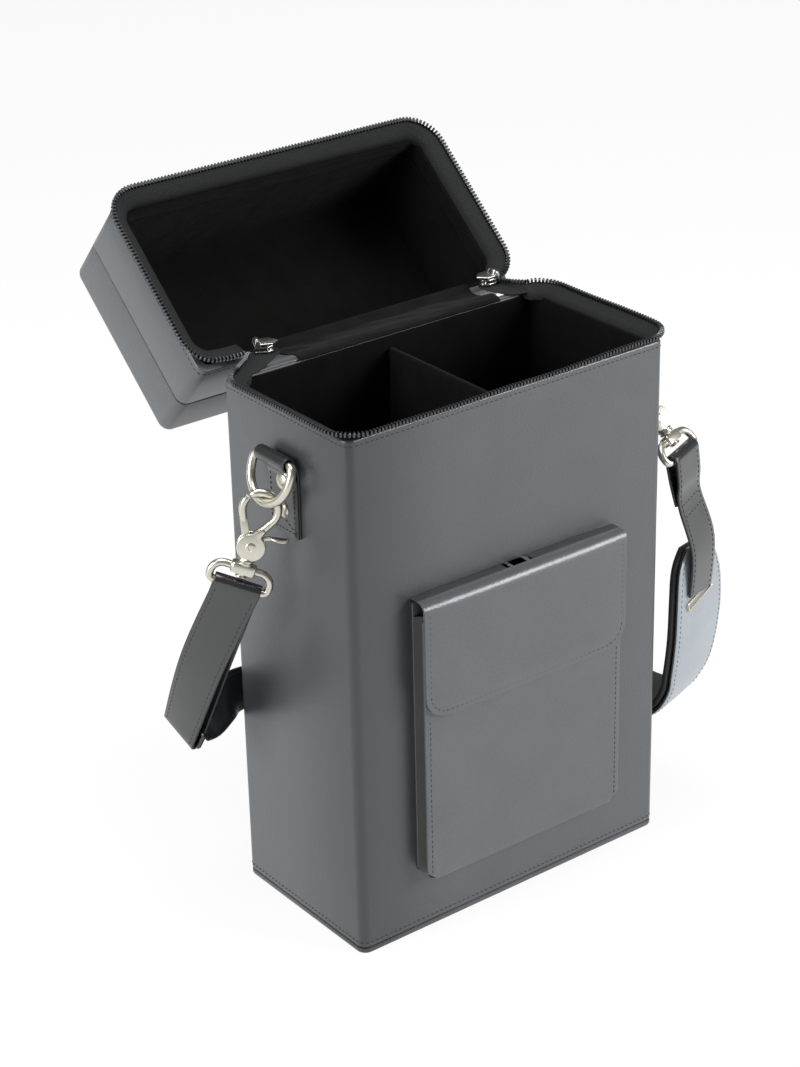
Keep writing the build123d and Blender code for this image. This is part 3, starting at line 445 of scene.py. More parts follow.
inside_rings = [
    (0.0, 4.25), (0.0, 284.6), (0.2, 285.0), (0.7, 285.0), (1.1, 284.6), (1.2, 277.5), (0.85, 276.8),
    (0.8, 140.0), (0.8, 6.5), (2.0, 5.1),
]
inside = boxed_skin(lining_w, lining_d, lining_corner, inside_rings, "ends", steps=4)
made(inside, "case_lining_velvet", lining_pile, "case", ["case_lining"], "velvet")

wall_low = 5.1
wall_high = rim - 7.5
wall_thick = 2.9
wall = bmesh.new()
bmesh.ops.create_grid(wall, x_segments=14, y_segments=30, size=1.0)
bmesh.ops.scale(wall, vec=(room_d - 0.25, (wall_high - wall_low) / 2, 1.0), verts=wall.verts)
slab = bmesh.ops.extrude_face_region(wall, geom=wall.faces[:])["geom"]
bmesh.ops.translate(wall, vec=(0, 0, wall_thick), verts=points_in(slab))
softened(wall, sharp_edges(wall, 60), 1.1, 3)
wall_place = frame_of((-wall_thick / 2, 0, (wall_high + wall_low) / 2), (0, 1, 0), (0, 0, 1))
made(wall, "divider_velvet", lining_pile, "case", ["divider"], "velvet", place=wall_place)

# Lid
band_rings = [
    (3.7, 1.2), (3.7, 0.4), (3.5, 0.05), (3.0, 0.0), (1.0, 0.0), (0.4, 0.15), (0.0, 0.8), (0.0, 16.0),
    (0.0, 31.6), (0.2, 32.4), (0.8, 32.8), (1.25, 32.7), (1.25, 1.3),
]
band = boxed_skin(half_w, half_d, wall_corner, band_rings, "round")
made(band, "lid_band_leather", lid_hide, "lid", ["lid_band"], "leather", place=lid_place)

cap_rings = [
    (6.0, 61.25), (3.0, 60.7), (1.6, 59.2), (1.25, 57.0), (1.25, 33.3), (0.8, 33.2), (0.2, 33.6),
    (0.0, 34.4), (0.0, 46.0), (0.0, 58.0), (0.34, 59.72), (1.32, 61.18), (2.78, 62.16), (4.5, 62.5),
    (12.0, 62.5),
]
cap = boxed_skin(half_w, half_d, wall_corner, cap_rings, "ends")
made(cap, "lid_cap_leather", lid_hide, "lid", ["lid_cap"], "leather", place=lid_place)

stitches([rounded_run(half_w, half_d, wall_corner, 3.0)], "lid_stitches", "lid", place=lid_place)

lid_room_rings = [
    (6.0, 58.5), (1.0, 58.2), (0.1, 56.0), (0.0, 2.0), (0.3, 1.55), (0.9, 1.55), (1.5, 2.0), (1.7, 9.5),
    (1.4, 10.6), (0.85, 11.0), (0.8, 30.0), (0.9, 52.0), (2.0, 56.4), (5.0, 57.4),
]
lid_room = boxed_skin(lining_w, lining_d, lining_corner, lid_room_rings, "ends", steps=4)
made(lid_room, "lid_lining_velvet", lining_pile, "lid", ["lid_lining"], "velvet", place=lid_place)

# Zip: each half starts inside the rim and spreads outwards to its free edge
tape_root = 10.0
zip_radius = 18.0
tape_height = 4.9
tooth_height = 5.65
tooth_pitch = 2.05
# Rows of a tape: radius, height and distance across the weave
tape_rows = [(10.2, 0.4, 0.0), (11.6, 1.6, 2.2), (13.8, 3.1, 5.0), (16.0, 4.2, 7.7), (18.0, 4.9, 10.0)]


def facing(degrees):
    return Vector((cos(radians(degrees)), sin(radians(degrees)), 0))


def zip_line(pulled, spacing=4.0, turns=8):
    """The zip's run from the rear left round the front: places inside it, with outward directions.

    pulled is how far its two ends are drawn back to the sliders.
    """
    wide, front, rear = 86.0, -38.0, 32.0
    left = [((-wide, rear), 112, 180), ((-wide, front), 180, 270)]
    corners = left + [((wide, front), 270, 360), ((wide, rear), 0, 68)]
    half_way = rear + pulled * 0.45
    marks = [(Vector((-74.0, rear + pulled, 0)), facing(90)), (Vector((-81.0, half_way, 0)), facing(96))]
    for (x, y), start, end in corners:
        for step in range(turns + 1):
            marks.append((Vector((x, y, 0)), facing(start + (end - start) * step / turns)))
    marks += [(Vector((wide, half_way, 0)), facing(80)), (Vector((wide, rear + pulled, 0)), facing(88))]
    run = [marks[0]]
    for (start, out), (end, next_out) in zip(marks, marks[1:]):
        if (end - start).length + (next_out - out).length < 0.001:
            continue
        pieces = max(1, round((end - start).length / spacing))
        for piece in range(1, pieces + 1):
            run.append((start.lerp(end, piece / pieces), out.lerp(next_out, piece / pieces).normalized()))
    return run


def flattening(travelled, whole, pulled):
    """How far the tape stands up: fully, except near ends that are pulled back flat."""
    near = min(travelled, whole - travelled)
    return 1.0 if not pulled else min(1.0, 0.3 + 0.7 * near / 26.0)


def tape_half(side, part, place, wave, pulled):
    """Woven tape of the case or the lid."""
    shape = bmesh.new()
    along = shape.verts.layers.float_vector.new("run")
    line = zip_line(pulled)
    edge_run = [centre + out * zip_radius for centre, out in line]
    travelled = [0.0]
    for before, after in zip(edge_run, edge_run[1:]):
        travelled.append(travelled[-1] + (after - before).length)
    row = []
    for (centre, out), length in zip(line, travelled):
        point = shape.verts.new(centre + out * tape_root + Vector((0, 0, -3.0 * side)))
        point[along] = (length * MM, 0, 0)
        row.append(point)
    edges = [shape.edges.new(pair) for pair in zip(row, row[1:])]
    for radius, height, across in tape_rows:
        fresh, edges = extended(shape, edges)
        fresh.sort(key=lambda point: point[along].x)
        for point, (centre, out), length in zip(fresh, line, travelled):
            stand = flattening(length, travelled[-1], pulled)
            lift = height * stand + wave(length) * (height / tape_height) * stand + 1.2 * (1.0 - stand)
            spread = tape_root + (radius - tape_root) * (0.5 + 0.5 * stand)
            point.co = centre + out * spread + Vector((0, 0, lift * side))
            point[along] = (length * MM, across * MM, 0)
    bmesh.ops.solidify(shape, geom=shape.faces[:], thickness=0.6)
    name, node = f"{part}_tape_woven", f"{part}_zip_tape"
    made(shape, name, tape_weave, part, [node], "zip_tape", place=place, sharp=60.0)


def teeth_half(side, part, place, wave, pulled):
    """Zip teeth along the free edge of the tape."""
    pattern = bmesh.new()
    bmesh.ops.create_cube(pattern, size=1.0)
    bmesh.ops.scale(pattern, vec=(1.15, 2.3, 2.6), verts=pattern.verts)
    softened(pattern, pattern.edges[:], 0.32, 1)
    chain = [(centre + out * zip_radius, out) for centre, out in zip_line(pulled)]
    run = evenly(chain, tooth_pitch)
    spots = []
    for index, (point, ahead, out) in enumerate(run):
        travelled = index * tooth_pitch
        stand = flattening(travelled, len(run) * tooth_pitch, pulled)
        height = (tooth_height + wave(travelled)) * stand + 1.6 * (1.0 - stand)
        inwards = out * (zip_radius - tape_root) * 0.5 * (1.0 - stand)
        spots.append(frame_of(point - inwards + Vector((0, 0, height * side)), ahead, Vector((0, 0, 1))))
    name, node = f"{part}_teeth_metal", f"{part}_zip_teeth"
    made(repeated(pattern, spots), name, tooth_metal, part, [node], "zip_metal", place=place, sharp=25.0)


def case_wave(length):
    """Rise and fall of the case's zip: it sags at the left and in the middle of the front."""
    return 0.7 * (tanh((length - 285.0) / 22.0) - 2.2) + 0.2 * sin(length / 11.0)


def lid_wave(length):
    """Rise and fall of the lid's zip: it stands out along the right."""
    return 0.3 + 0.3 * tanh((length - 275.0) / 18.0)


rim_place = Matrix.Translation((0, 0, rim))
for side, part, place, wave, pulled in (
    (1, "case", rim_place, case_wave, 19.0),
    (-1, "lid", lid_place, lid_wave, 0.0),
):
    tape_half(side, part, place, wave, pulled)
    teeth_half(side, part, place, wave, pulled)


def plate(outline, low, thick, corner=0.0, edge=0.0, shape=None):
    """Flat plate with rounded corners and edges, added to a shape or on its own."""
    alone = bmesh.new()
    points = [alone.verts.new((x, y, low)) for x, y in outline]
    bmesh.ops.contextual_create(alone, geom=points)
    if corner:
        softened(alone, alone.verts[:], corner, 4, "VERTICES")
    grown = bmesh.ops.extrude_face_region(alone, geom=alone.faces[:])["geom"]
    bmesh.ops.translate(alone, vec=(0, 0, thick), verts=points_in(grown))
    if edge:
        softened(alone, sharp_edges(alone, 60), edge, 3, clamp=True)
    return joined(shape, alone)


def joined(shape, extra, place=None):
    """Add one shape to another, after moving it to its place."""
    if place is not None:
        bmesh.ops.transform(extra, matrix=place, verts=extra.verts)
    if shape is None:
        return extra
    carrier = bpy.data.meshes.new("carrier")
    extra.to_mesh(carrier)
    extra.free()
    shape.from_mesh(carrier)
    bpy.data.meshes.remove(carrier)
    return shape


def turned(profile, steps=28):
    """Round body from a profile of (radius, height), about its own Z axis."""
    shape = bmesh.new()
    points = [shape.verts.new((radius, 0, height)) for radius, height in profile]
    for first, second in zip(points, points[1:]):
        shape.edges.new((first, second))
    line = shape.verts[:] + shape.edges[:]
    whole = {"cent": (0, 0, 0), "axis": (0, 0, 1), "angle": 2 * pi}
    bmesh.ops.spin(shape, geom=line, steps=steps, use_merge=True, **whole)
    bmesh.ops.remove_doubles(shape, verts=shape.verts, dist=0.001)
    return shape


left_tail = [(-97.0, 41.0), (-79.9, 46.0), (-57.5, 60.5), (-57.5, 68.5), (-70.5, 68.5), (-97.0, 51.0)]
right_tail = [(97.0, 41.0), (79.9, 46.0), (74.5, 60.5), (74.5, 68.5), (87.5, 68.5), (97.0, 51.0)]
for side, outline in (("left", left_tail), ("right", right_tail)):
    tail = plate(outline, rim + 0.5, 0.7, corner=3.4, edge=0.25)
    made(tail, f"zip_tail_{side}", tape_weave, "case", slot="zip_tape")


def slider(x, y, turned_by, side):
    """Zip slider: two arrow-shaped plates on a wedge, with a crown over the pull's pin, and the pull."""
    spot = frame_of((x, y, 288.0), (cos(radians(turned_by)), sin(radians(turned_by)), 0), (0, 0, 1))
    spot = spot @ Matrix.Rotation(-pi / 2, 4, "X")
    across = Matrix.Rotation(pi / 2, 4, "X")
    pin_place = Matrix.Translation((-3.5, 0, 5.8))
    arrow = [(4.9, -1.7), (4.9, 1.7), (1.4, 3.5), (-4.9, 2.7), (-4.9, -2.7), (1.4, -3.5)]
    body = plate(arrow, 0.0, 1.0, corner=0.8, edge=0.3)
    body = plate(arrow, 2.3, 1.0, corner=0.8, edge=0.3, shape=body)
    body = joined(body, turned([(0, 0.8), (1.5, 0.8), (1.5, 2.5), (0, 2.5)]), Matrix.Translation((2.8, 0, 0)))
    ear = [(-1.5, -0.4), (1.5, -0.4), (1.5, 2.2), (0.7, 3.2), (-0.7, 3.2), (-1.5, 2.2)]
    for y in (-3.0, 3.0):
        body = joined(body, plate(ear, -0.5, 1.0, 0.3, 0.2), Matrix.Translation((-3.5, y, 3.6)) @ across)
    pin = turned([(0, -3.4), (0.8, -3.4), (0.8, 3.4), (0, 3.4)], 16)
    body = joined(body, pin, pin_place @ across)
    name, node = f"slider_{side}_metal", f"zip_slider_{side}"
    made(body, name, slider_metal, "case", [node], "nickel", place=spot, sharp=35.0)
    blade = [(0.2, -2.4), (1.6, -4.2), (7.2, -4.7), (11.2, 0.0), (7.2, 4.7), (1.6, 4.2), (0.2, 2.4)]
    tab = plate(blade, -1.5, 1.1, corner=0.6, edge=0.35)
    barrel = [(0.9, -2.0), (1.3, -2.1), (1.5, -1.8), (1.5, 1.8), (1.3, 2.1), (0.9, 2.0), (0.9, -2.0)]
    tab = joined(tab, turned(barrel, 20), across)
    name, node = f"pull_{side}_metal", f"zip_pull_{side}"
    made(tab, name, slider_metal, f"pull_{side}", [node], "nickel", place=spot @ pin_place, sharp=35.0)


slider(-65.5, 64.8, -23.0, "left")
slider(81.2, 66.3, 177.0, "right")


def smoothed(values, steps):
    """Even curve through vectors or numbers."""
    count = len(values)
    fine = []
    for index in range(count - 1):
        a, b = values[max(index - 1, 0)], values[index]
        c, d = values[index + 1], values[min(index + 2, count - 1)]
        for step in range(steps):
            t = step / steps
            first = 2 * b + (c - a) * t
            second = (2 * a - 5 * b + 4 * c - d) * t * t
            third = (3 * b - a - 3 * c + d) * t * t * t
            fine.append((first + second + third) * 0.5)
    fine.append(values[-1])
    return fine


# Velvet strip between the case and the lid, with lengthwise creases
hinge_profile = [(-5.6, 0.1), (-4.6, 0.9), (-3.0, 1.3), (1.5, 1.4), (6.5, -0.2), (12.0, -1.8)]
hinge_profile += [(16.0, -2.7), (18.4, -2.7), (20.3, -1.2), (22.1, 0.5), (23.2, 1.1)]
strip_line = smoothed([Vector((0, half_d + y, rim + z)) for y, z in hinge_profile], 5)
strip = bmesh.new()
bmesh.ops.create_grid(strip, x_segments=72, y_segments=len(strip_line) - 1, size=1.0)
strip_middle, strip_half = 8.5, 64.5
for point in strip.verts:
    depth = (point.co.y + 1) / 2
    share = depth * (len(strip_line) - 1)
    low = min(int(share + 1e-4), len(strip_line) - 2)
    place = strip_line[low].lerp(strip_line[low + 1], share - low)
    x = strip_middle + point.co.x * strip_half
    crease = sin(x / 15.0) * 1.3 + depth * 12.0
    sag = 0.45 * sin(crease) * sin(pi * depth) + 0.2 * sin(x / 5.0 + depth * 20.0) * sin(pi * depth)
    point.co = (x, place.y, place.z + sag)
bmesh.ops.solidify(strip, geom=strip.faces[:], thickness=0.8)
hinge_cloth = made(strip, "hinge_velvet_strip", hinge_pile, None, ["hinge_strip"], "velvet", sharp=70.0)
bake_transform(hinge_cloth)


# Pocket
pocket_place = Matrix.Translation((0, -half_d, 0)) @ Matrix.Rotation(pi / 2, 4, "X")
face_out = Vector((0, 0, 1))


def panel(half, low, high, corner, fill):
    """Flat grid with rounded lower corners; fill shapes each point from its share across and its height."""
    shape = bmesh.new()
    bmesh.ops.create_grid(shape, x_segments=30, y_segments=30, size=1.0)
    for point in shape.verts:
        across = point.co.x
        height = low + (point.co.y + 1) / 2 * (high - low)
        short = max(corner - (height - low), 0.0)
        width = half - corner + sqrt(max(corner * corner - short * short, 0.0))
        point.co = (across * width, height, 0)
        fill(point, across, height)
    return shape


def thickened(shape, thick, edge):
    """Give a sheet of leather its thickness and a soft edge."""
    bmesh.ops.solidify(shape, geom=shape.faces[:], thickness=thick)
    if edge:
        softened(shape, sharp_edges(shape, 55), edge, 3, clamp=True)
    return shape


pocket_half = 64.5
pocket_low = 34.5
pocket_back_top = 191.5
pocket_mouth = 184.0


def front_swell(point, across, height):
    share = min(max((height - pocket_low) / (pocket_mouth - pocket_low), 0.0), 1.0)
    point.co.z = 8.2 + 0.5 * ((1 - across**4) * sin(pi * share))


def back_flat(point, across, height):
    point.co.z = 0.02


back_panel = thickened(panel(pocket_half, pocket_low, pocket_back_top, 6.0, back_flat), -1.15, 0.35)
name, node = "pocket_back_leather", "pocket_back"
made(back_panel, name, pocket_hide, "case", [node], "leather", place=pocket_place)
front_panel = thickened(panel(pocket_half, pocket_low, pocket_mouth, 6.0, front_swell), -1.4, 0.5)
name, node = "pocket_front_leather", "pocket_front"
made(front_panel, name, pocket_hide, "case", [node], "leather", place=pocket_place)

# The flap runs out from its hinge, bends down in a quarter circle and hangs in front of the pocket
fold_top = 190.0
fold_out = 6.6
bend = 5.0
flap_low = 129.5
flap_length = 73.95
level_end = 5.6
bend_end = 13.454


def wrapped(point, across, height):
    """Lay a flap point over the pocket's mouth: level, round the bend, then down the front."""
    from_edge = height - flap_low
    from_hinge = flap_length - from_edge
    puff = (1 - abs(across) ** 5) * min(1.0, from_edge / 9.0)
    if from_hinge < level_end:
        out, up, normal = 0.45 + from_hinge * 6.15 / level_end, fold_top + bend, (0.0, 1.0)
        puff *= 0.2
    elif from_hinge < bend_end:
        angle = (from_hinge - level_end) / bend
        out, up, normal = fold_out + bend * sin(angle), fold_top + bend * cos(angle), (sin(angle), cos(angle))
        puff *= 0.2 + 0.8 * angle / (pi / 2)
    else:
        out, up, normal = fold_out + bend, fold_top - (from_hinge - bend_end), (1.0, 0.0)
    lift = puff - 0.7
    point.co = (point.co.x, up + normal[1] * lift, out + normal[0] * lift)


flap = thickened(panel(65.5, flap_low, flap_low + flap_length, 14.0, wrapped), -1.4, 0.0)
made(flap, "pocket_flap_leather", pocket_hide, "flap", ["pocket_flap"], "leather", place=pocket_place)

# Bellows side of the pocket, drawn down one side, across the bottom and up the other
fold = bmesh.new()
ridge = [(-64.4, 1.25), (-61.6, 3.0), (-60.5, 4.7), (-61.6, 6.4), (-64.4, 8.15)]
points = [fold.verts.new((x, pocket_mouth, out)) for x, out in ridge]
tip = points + [fold.edges.new(pair) for pair in zip(points, points[1:])]
corner_x, corner_y = 58.5, 40.5


def drawn(shape, tip, move):
    """Draw the open section ahead by one straight move."""
    points, edges = extended(shape, edges_in(tip))
    bmesh.ops.translate(shape, vec=move, verts=points)
    return points + edges


def swung(shape, tip, centre):
    """Turn the open section round a lower corner of the pocket."""
    swing = bmesh.ops.spin(shape, geom=tip, cent=centre, axis=(0, 0, 1), angle=pi / 2, steps=8)
    return swing["geom_last"]


tip = drawn(fold, tip, (0, corner_y - pocket_mouth, 0))
tip = swung(fold, tip, (-corner_x, corner_y, 0))
tip = drawn(fold, tip, (2 * corner_x, 0, 0))
tip = swung(fold, tip, (corner_x, corner_y, 0))
tip = drawn(fold, tip, (0, pocket_mouth - corner_y, 0))
bmesh.ops.solidify(fold, geom=fold.faces[:], thickness=0.8)
name, node = "pocket_gusset_leather", "pocket_gusset"
made(fold, name, gusset_hide, "case", [node], "leather", place=pocket_place, sharp=60.0)

# Seams down both sides of the pocket's front and round the flap's free edge
seam_x = 61.6
front_rows = []
for side in (-1, 1):
    front_rows.append([(Vector((side * seam_x, y, 9.65)), face_out) for y in (128.5, 38.5)])
stitches(front_rows, "pocket_front_stitches", "case", place=pocket_place)

flap_rows = []
for side in (-1, 1):
    flap_rows.append([(Vector((side * 62.6, y, 12.32)), face_out) for y in (189.0, 170.0, 150.0, 141.0)])
arc_row = []
arc_radius = 11.1
for start_angle, centre_x in ((180, -51.5), (270, 51.5)):
    for step in range(9):
        angle = radians(start_angle + 90 * step / 8)
        spot = Vector((centre_x + arc_radius * cos(angle), 143.5 + arc_radius * sin(angle), 12.42))
        arc_row.append((spot, face_out))
stitches(flap_rows + [arc_row], "pocket_flap_stitches", "flap", place=pocket_place)


# Straps and metal fittings
def section_place(centre, across, travel):
    """Place of one strap section: X across the strap, Y out of its face, Z along its run."""
    x_axis = (across - travel * across.dot(travel)).normalized()
    return frame_of(centre, x_axis, travel.cross(x_axis))


def places_along(centres, acrosses, closed=False):
    """Section places through a run of centres."""
    count = len(centres)
    places = []
    for index in range(count):
        before = centres[(index - 1) % count if closed else max(index - 1, 0)]
        after = centres[(index + 1) % count if closed else min(index + 1, count - 1)]
        places.append(section_place(centres[index], acrosses[index], (after - before).normalized()))
    return places


def ribbon(places, widths, thick, closed=False, crown=0.0, edge=0.5):
    """Flat strap with rounded edges through its section places. Its edges are a second finish."""
    shape = hoop(widths[0] / 2, thick / 2, edge, 0.0, 3)
    across = shape.verts.layers.float.new("across")
    wide = [line for line in shape.edges if abs(line.verts[0].co.x - line.verts[1].co.x) > widths[0] / 2]
    bmesh.ops.subdivide_edges(shape, edges=wide, cuts=5, use_grid_fill=False)
    for point in shape.verts:
        share = point.co.x / (widths[0] / 2)
        point[across] = abs(share)
        if point.co.y > 0:
            point.co.y += crown * (1 - share * share)
    bmesh.ops.transform(shape, matrix=places[0], verts=shape.verts)
    first = shape.edges[:]
    edges = first
    for index in range(1, len(places)):
        points, edges = extended(shape, edges)
        ratio = widths[index] / widths[index - 1]
        step = places[index] @ Matrix.Diagonal((ratio, 1.0, 1.0, 1.0)) @ places[index - 1].inverted()
        bmesh.ops.transform(shape, matrix=step, verts=points)
    if closed:
        bmesh.ops.bridge_loops(shape, edges=first + edges)
    else:
        bmesh.ops.contextual_create(shape, geom=first)
        bmesh.ops.contextual_create(shape, geom=edges)
    for face in shape.faces:
        middle = sum(point[across] for point in face.verts) / len(face.verts)
        face.material_index = 1 if middle > 0.965 and len(face.verts) == 4 else 0
    return shape


def strap_rows(places, widths, thick=strap_thick, inset=row_inset, side=1):
    """Rows of stitches near both edges of a strap."""
    rows = []
    for edge in (-1, 1):
        row = []
        for place, width in zip(places, widths):
            spot = place @ Vector((edge * (width / 2 - inset), side * thick / 2, 0))
            row.append((spot, place.to_3x3() @ Vector((0, side, 0))))
        rows.append(row)
    return rows


def wire(points, radii, closed=False):
    """Round wire through points in one plane, as a mesh."""
    curve = bpy.data.curves.new("wire", "CURVE")
    curve.dimensions = "3D"
    curve.bevel_depth = 1.0
    curve.bevel_resolution = 4
    curve.use_fill_caps = True
    curve.twist_mode = "MINIMUM"
    line = curve.splines.new("POLY")
    line.points.add(len(points) - 1)
    for spot, point, radius in zip(line.points, points, radii):
        spot.co = (*point, 1.0)
        spot.radius = radius
    line.use_cyclic_u = closed
    carrier = bpy.data.objects.new("wire", curve)
    bpy.context.collection.objects.link(carrier)
    shown = carrier.evaluated_get(bpy.context.evaluated_depsgraph_get())
    mesh = bpy.data.meshes.new_from_object(shown)
    shape = bmesh.new()
    shape.from_mesh(mesh)
    bmesh.ops.remove_doubles(shape, verts=shape.verts, dist=0.001)
    bpy.data.objects.remove(carrier)
    bpy.data.curves.remove(curve)
    bpy.data.meshes.remove(mesh)
    return shape


def rounded(points, radii, steps=9):
    """Closed flat path with its corners rounded."""
    path = []
    count = len(points)
    for index, radius in enumerate(radii):
        corner = Vector(points[index])
        back = (Vector(points[index - 1]) - corner).normalized()
        ahead = (Vector(points[(index + 1) % count]) - corner).normalized()
        half = back.angle(ahead) / 2
        centre = corner + (back + ahead).normalized() * radius / sin(half)
        start = corner + back * radius * cos(half) / sin(half) - centre
        end = corner + ahead * radius * cos(half) / sin(half) - centre
        for step in range(steps + 1):
            path.append(centre + start.slerp(end, step / steps).normalized() * radius)
    return path


def arc(centre_y, radius, start, end, step=8.0):
    """Points of an arc about (0, centre_y)."""
    pieces = max(2, round(abs(end - start) / step))
    angles = [radians(start + (end - start) * index / pieces) for index in range(pieces + 1)]
    return [Vector((radius * cos(angle), centre_y + radius * sin(angle), 0)) for angle in angles]


def tab(out, side):
    """Leather strip folded round the ring's bar, with box stitching and two dome rivets."""
    bar = Vector((6.2, 263.0))
    front = [(1.8, 222.4), (1.8, 236.0), (1.8, 249.0), (2.4, 254.2), (5.2, 257.7)]
    line = [Vector(spot) for spot in front]
    for step in range(11):
        angle = radians(-50 + 215 * step / 10)
        line.append(bar + Vector((cos(angle), sin(angle))) * 3.25)
    line += [Vector(spot) for spot in ((1.0, 258.5), (0.62, 252.0), (0.62, 236.0), (0.62, 222.4))]
    centres = smoothed([Vector((out * (half_w + x), middle_y, z)) for x, z in line], 3)
    places = places_along(centres, [Vector((0, 1, 0))] * len(centres))
    strip = ribbon(places, [strap_width] * len(places), 1.15, edge=0.45)
    made(strip, f"{side}_tab_leather", [tab_hide, edge_paint], "case", [f"{side}_tab"], "dark_leather")
    wall = Vector((out, 0, 0))
    face = out * (half_w + 2.4)
    low, high, peak = 224.8, 251.5, 231.0
    border = [(-9.6, high), (-9.6, low), (9.6, low), (9.6, high)]
    point_up = [(-8.6, low + 1.5), (0.0, peak), (8.6, low + 1.5)]
    box = []
    for outline in (border, point_up):
        for ends in zip(outline, outline[1:]):
            box.append([(Vector((face, middle_y + y, z)), wall) for y, z in ends])
    stitches(box, f"{side}_tab_stitches", "case", pitch=2.8, length=2.0)
    studs = bmesh.new()
    cap = [(0, 1.58), (1.6, 1.48), (3.0, 1.12), (4.1, 0.5), (4.45, 0.1)]
    cap += [(4.4, -0.05), (1.4, -0.1), (1.4, -2.3), (0, -2.3)]
    for height in (235.0, 249.8):
        studs = joined(studs, turned(cap), frame_of((face, middle_y, height), (0, out, 0), (0, 0, 1)))
    made(studs, f"{side}_tab_studs", nickel, "case", [f"{side}_tab_rivets"], "nickel")


def fitting(shape, side, part, place, sharp=38.0):
    """One nickel fitting of a strap's end, on its own body."""
    name, node = f"{side}_{part}_metal", f"{side}_{part}"
    made(shape, name, nickel, f"{side}_{part}_body", [node], "nickel", place=place, sharp=sharp)


ring_swing = {"left": 20.0, "right": 25.0}


def ring(out, side):
    """D-shaped ring: straight bar in the tab, round bow below."""
    angle = radians(ring_swing[side])
    up = Vector((-out * sin(angle), 0, cos(angle)))
    corners = [(-15.8, 0, 0), (15.8, 0, 0), (15.8, -22.0, 0), (-15.8, -22.0, 0)]
    path = rounded(corners, [4.0, 4.0, 15.7, 15.7])
    radii = [2.3 - 0.12 * min(1.0, max(0.0, point.y + 6.0) / 6.0) for point in path]
    shape = wire(path, radii, closed=True)
    place = frame_of((out * 106.2, middle_y, 263.0), (0, 1, 0), up)
    fitting(shape, side, "ring", place, sharp=42.0)


# Where each hook and each eye hangs at rest, with the direction of its width and of its top
hook_places = {
    "left": frame_of((-113.7244, -0.5, 242.3268), (0.7252, -0.5955, -0.3456), (0.3216, -0.1508, 0.9348)),
    "right": frame_of((113.5542, -11.6016, 247.2288), (-0.9211, 0.0511, -0.386), (-0.2733, 0.6213, 0.7344)),
}
eye_places = {
    "left": frame_of((-124.1836, 4.0195, 208.2498), (0.7274, -0.5926, -0.3459), (0.3216, -0.1508, 0.9348)),
    "right": frame_of((122.1738, -34.2645, 219.7715), (0.9427, 0.3248, 0.0759), (-0.2733, 0.6213, 0.7344)),
}
bow_middle = -4.15
bow_radius = 8.7
pivot = Vector((1.5, -23.8, 0))


def hook(side):
    """Scissor snap hook: bow, two cheeks with the gate between them, neck with collar and post."""
    place = hook_places[side]
    path = arc(bow_middle, bow_radius, 140.0, -30.0)
    foot = Vector((-0.5, -0.866, 0))
    path += [path[-1] + foot * length for length in (3.0, 6.0, 9.0, 11.5)]
    radii = [1.5, 1.9] + [1.95] * (len(path) - 6) + [2.05, 2.25, 2.5, 2.6]
    shape = wire(path, radii)
    for level in (1.35, -3.0):
        disc = [pivot + facing(degrees) * 7.15 for degrees in range(100, 425, 12)]
        outline = [(point.x, point.y) for point in disc] + [(5.9, -13.4), (3.6, -12.9)]
        shape = plate(outline, level, 1.65, edge=0.55, shape=shape)
    neck = turned([
        (0, 5.4), (2.6, 5.8), (3.7, 6.6), (4.0, 7.0), (4.0, 7.7), (3.4, 8.0), (3.4, 8.3), (4.0, 8.6),
        (4.0, 9.3), (3.6, 9.75), (2.1, 9.8), (2.1, 15.8), (2.9, 15.9), (3.0, 16.4), (2.4, 17.0),
        (0, 17.1),
    ])
    shape = joined(shape, neck, frame_of(pivot, (1, 0, 0), (0, 0, 1)))
    fitting(shape, side, "hook", place)
    pin = turned([
        (0, -3.5), (2.2, -3.5), (2.7, -3.2), (2.7, -3.0), (1.5, -3.0), (1.5, 3.0), (2.7, 3.0),
        (2.7, 3.2), (2.2, 3.5), (1.3, 3.5), (1.1, 3.3), (0, 3.3),
    ])
    pin_place = place @ Matrix.Translation(pivot)
    name, node = f"{side}_hook_pin", f"{side}_hook_rivet"
    made(pin, name, nickel, f"{side}_hook_body", [node], "nickel", place=pin_place, sharp=38.0)


def gate(side):
    """Sprung gate of a hook: finger, heel, lug round the pin, root of the lever and its thumb rest."""
    finger = arc(bow_middle, bow_radius, 150.0, 205.0)
    heading = Vector((0.4226, -0.9063, 0))
    finger += [finger[-1] + heading * length for length in (2.5, 5.0)]
    shape = wire(finger, [1.5, 1.9] + [1.95] * (len(finger) - 4) + [1.85, 1.6])
    heel = [(-8.2, -11.6), (-4.7, -10.3), (-0.8, -18.6), (1.5, -23.6), (-3.4, -22.0)]
    shape = plate(heel, -1.0, 2.0, edge=0.35, shape=shape)
    lug = turned([(1.7, -1.0), (5.1, -1.0), (5.4, -0.7), (5.4, 0.7), (5.1, 1.0), (1.7, 1.0), (1.7, -1.0)])
    shape = joined(shape, lug, Matrix.Translation(pivot))
    root = [(1.8, -21.3), (8.6, -18.0), (11.4, -17.2), (11.4, -15.9), (8.4, -16.2), (3.0, -18.8)]
    shape = plate(root, -1.0, 2.0, edge=0.35, shape=shape)
    reach = [(9.6, -17.0), (11.4, -16.75), (14.0, -16.5), (16.3, -15.9), (17.7, -15.0)]
    reach = smoothed([Vector((x, y, 0)) for x, y in reach], 3)
    widths = smoothed([2.4, 4.4, 5.2, 5.0, 3.2], 3)
    thumb = ribbon(places_along(reach, [Vector((0, 0, 1))] * len(reach)), widths, 1.5, edge=0.6)
    for face in thumb.faces:
        face.material_index = 0
    fitting(joined(shape, thumb), side, "gate", hook_places[side])


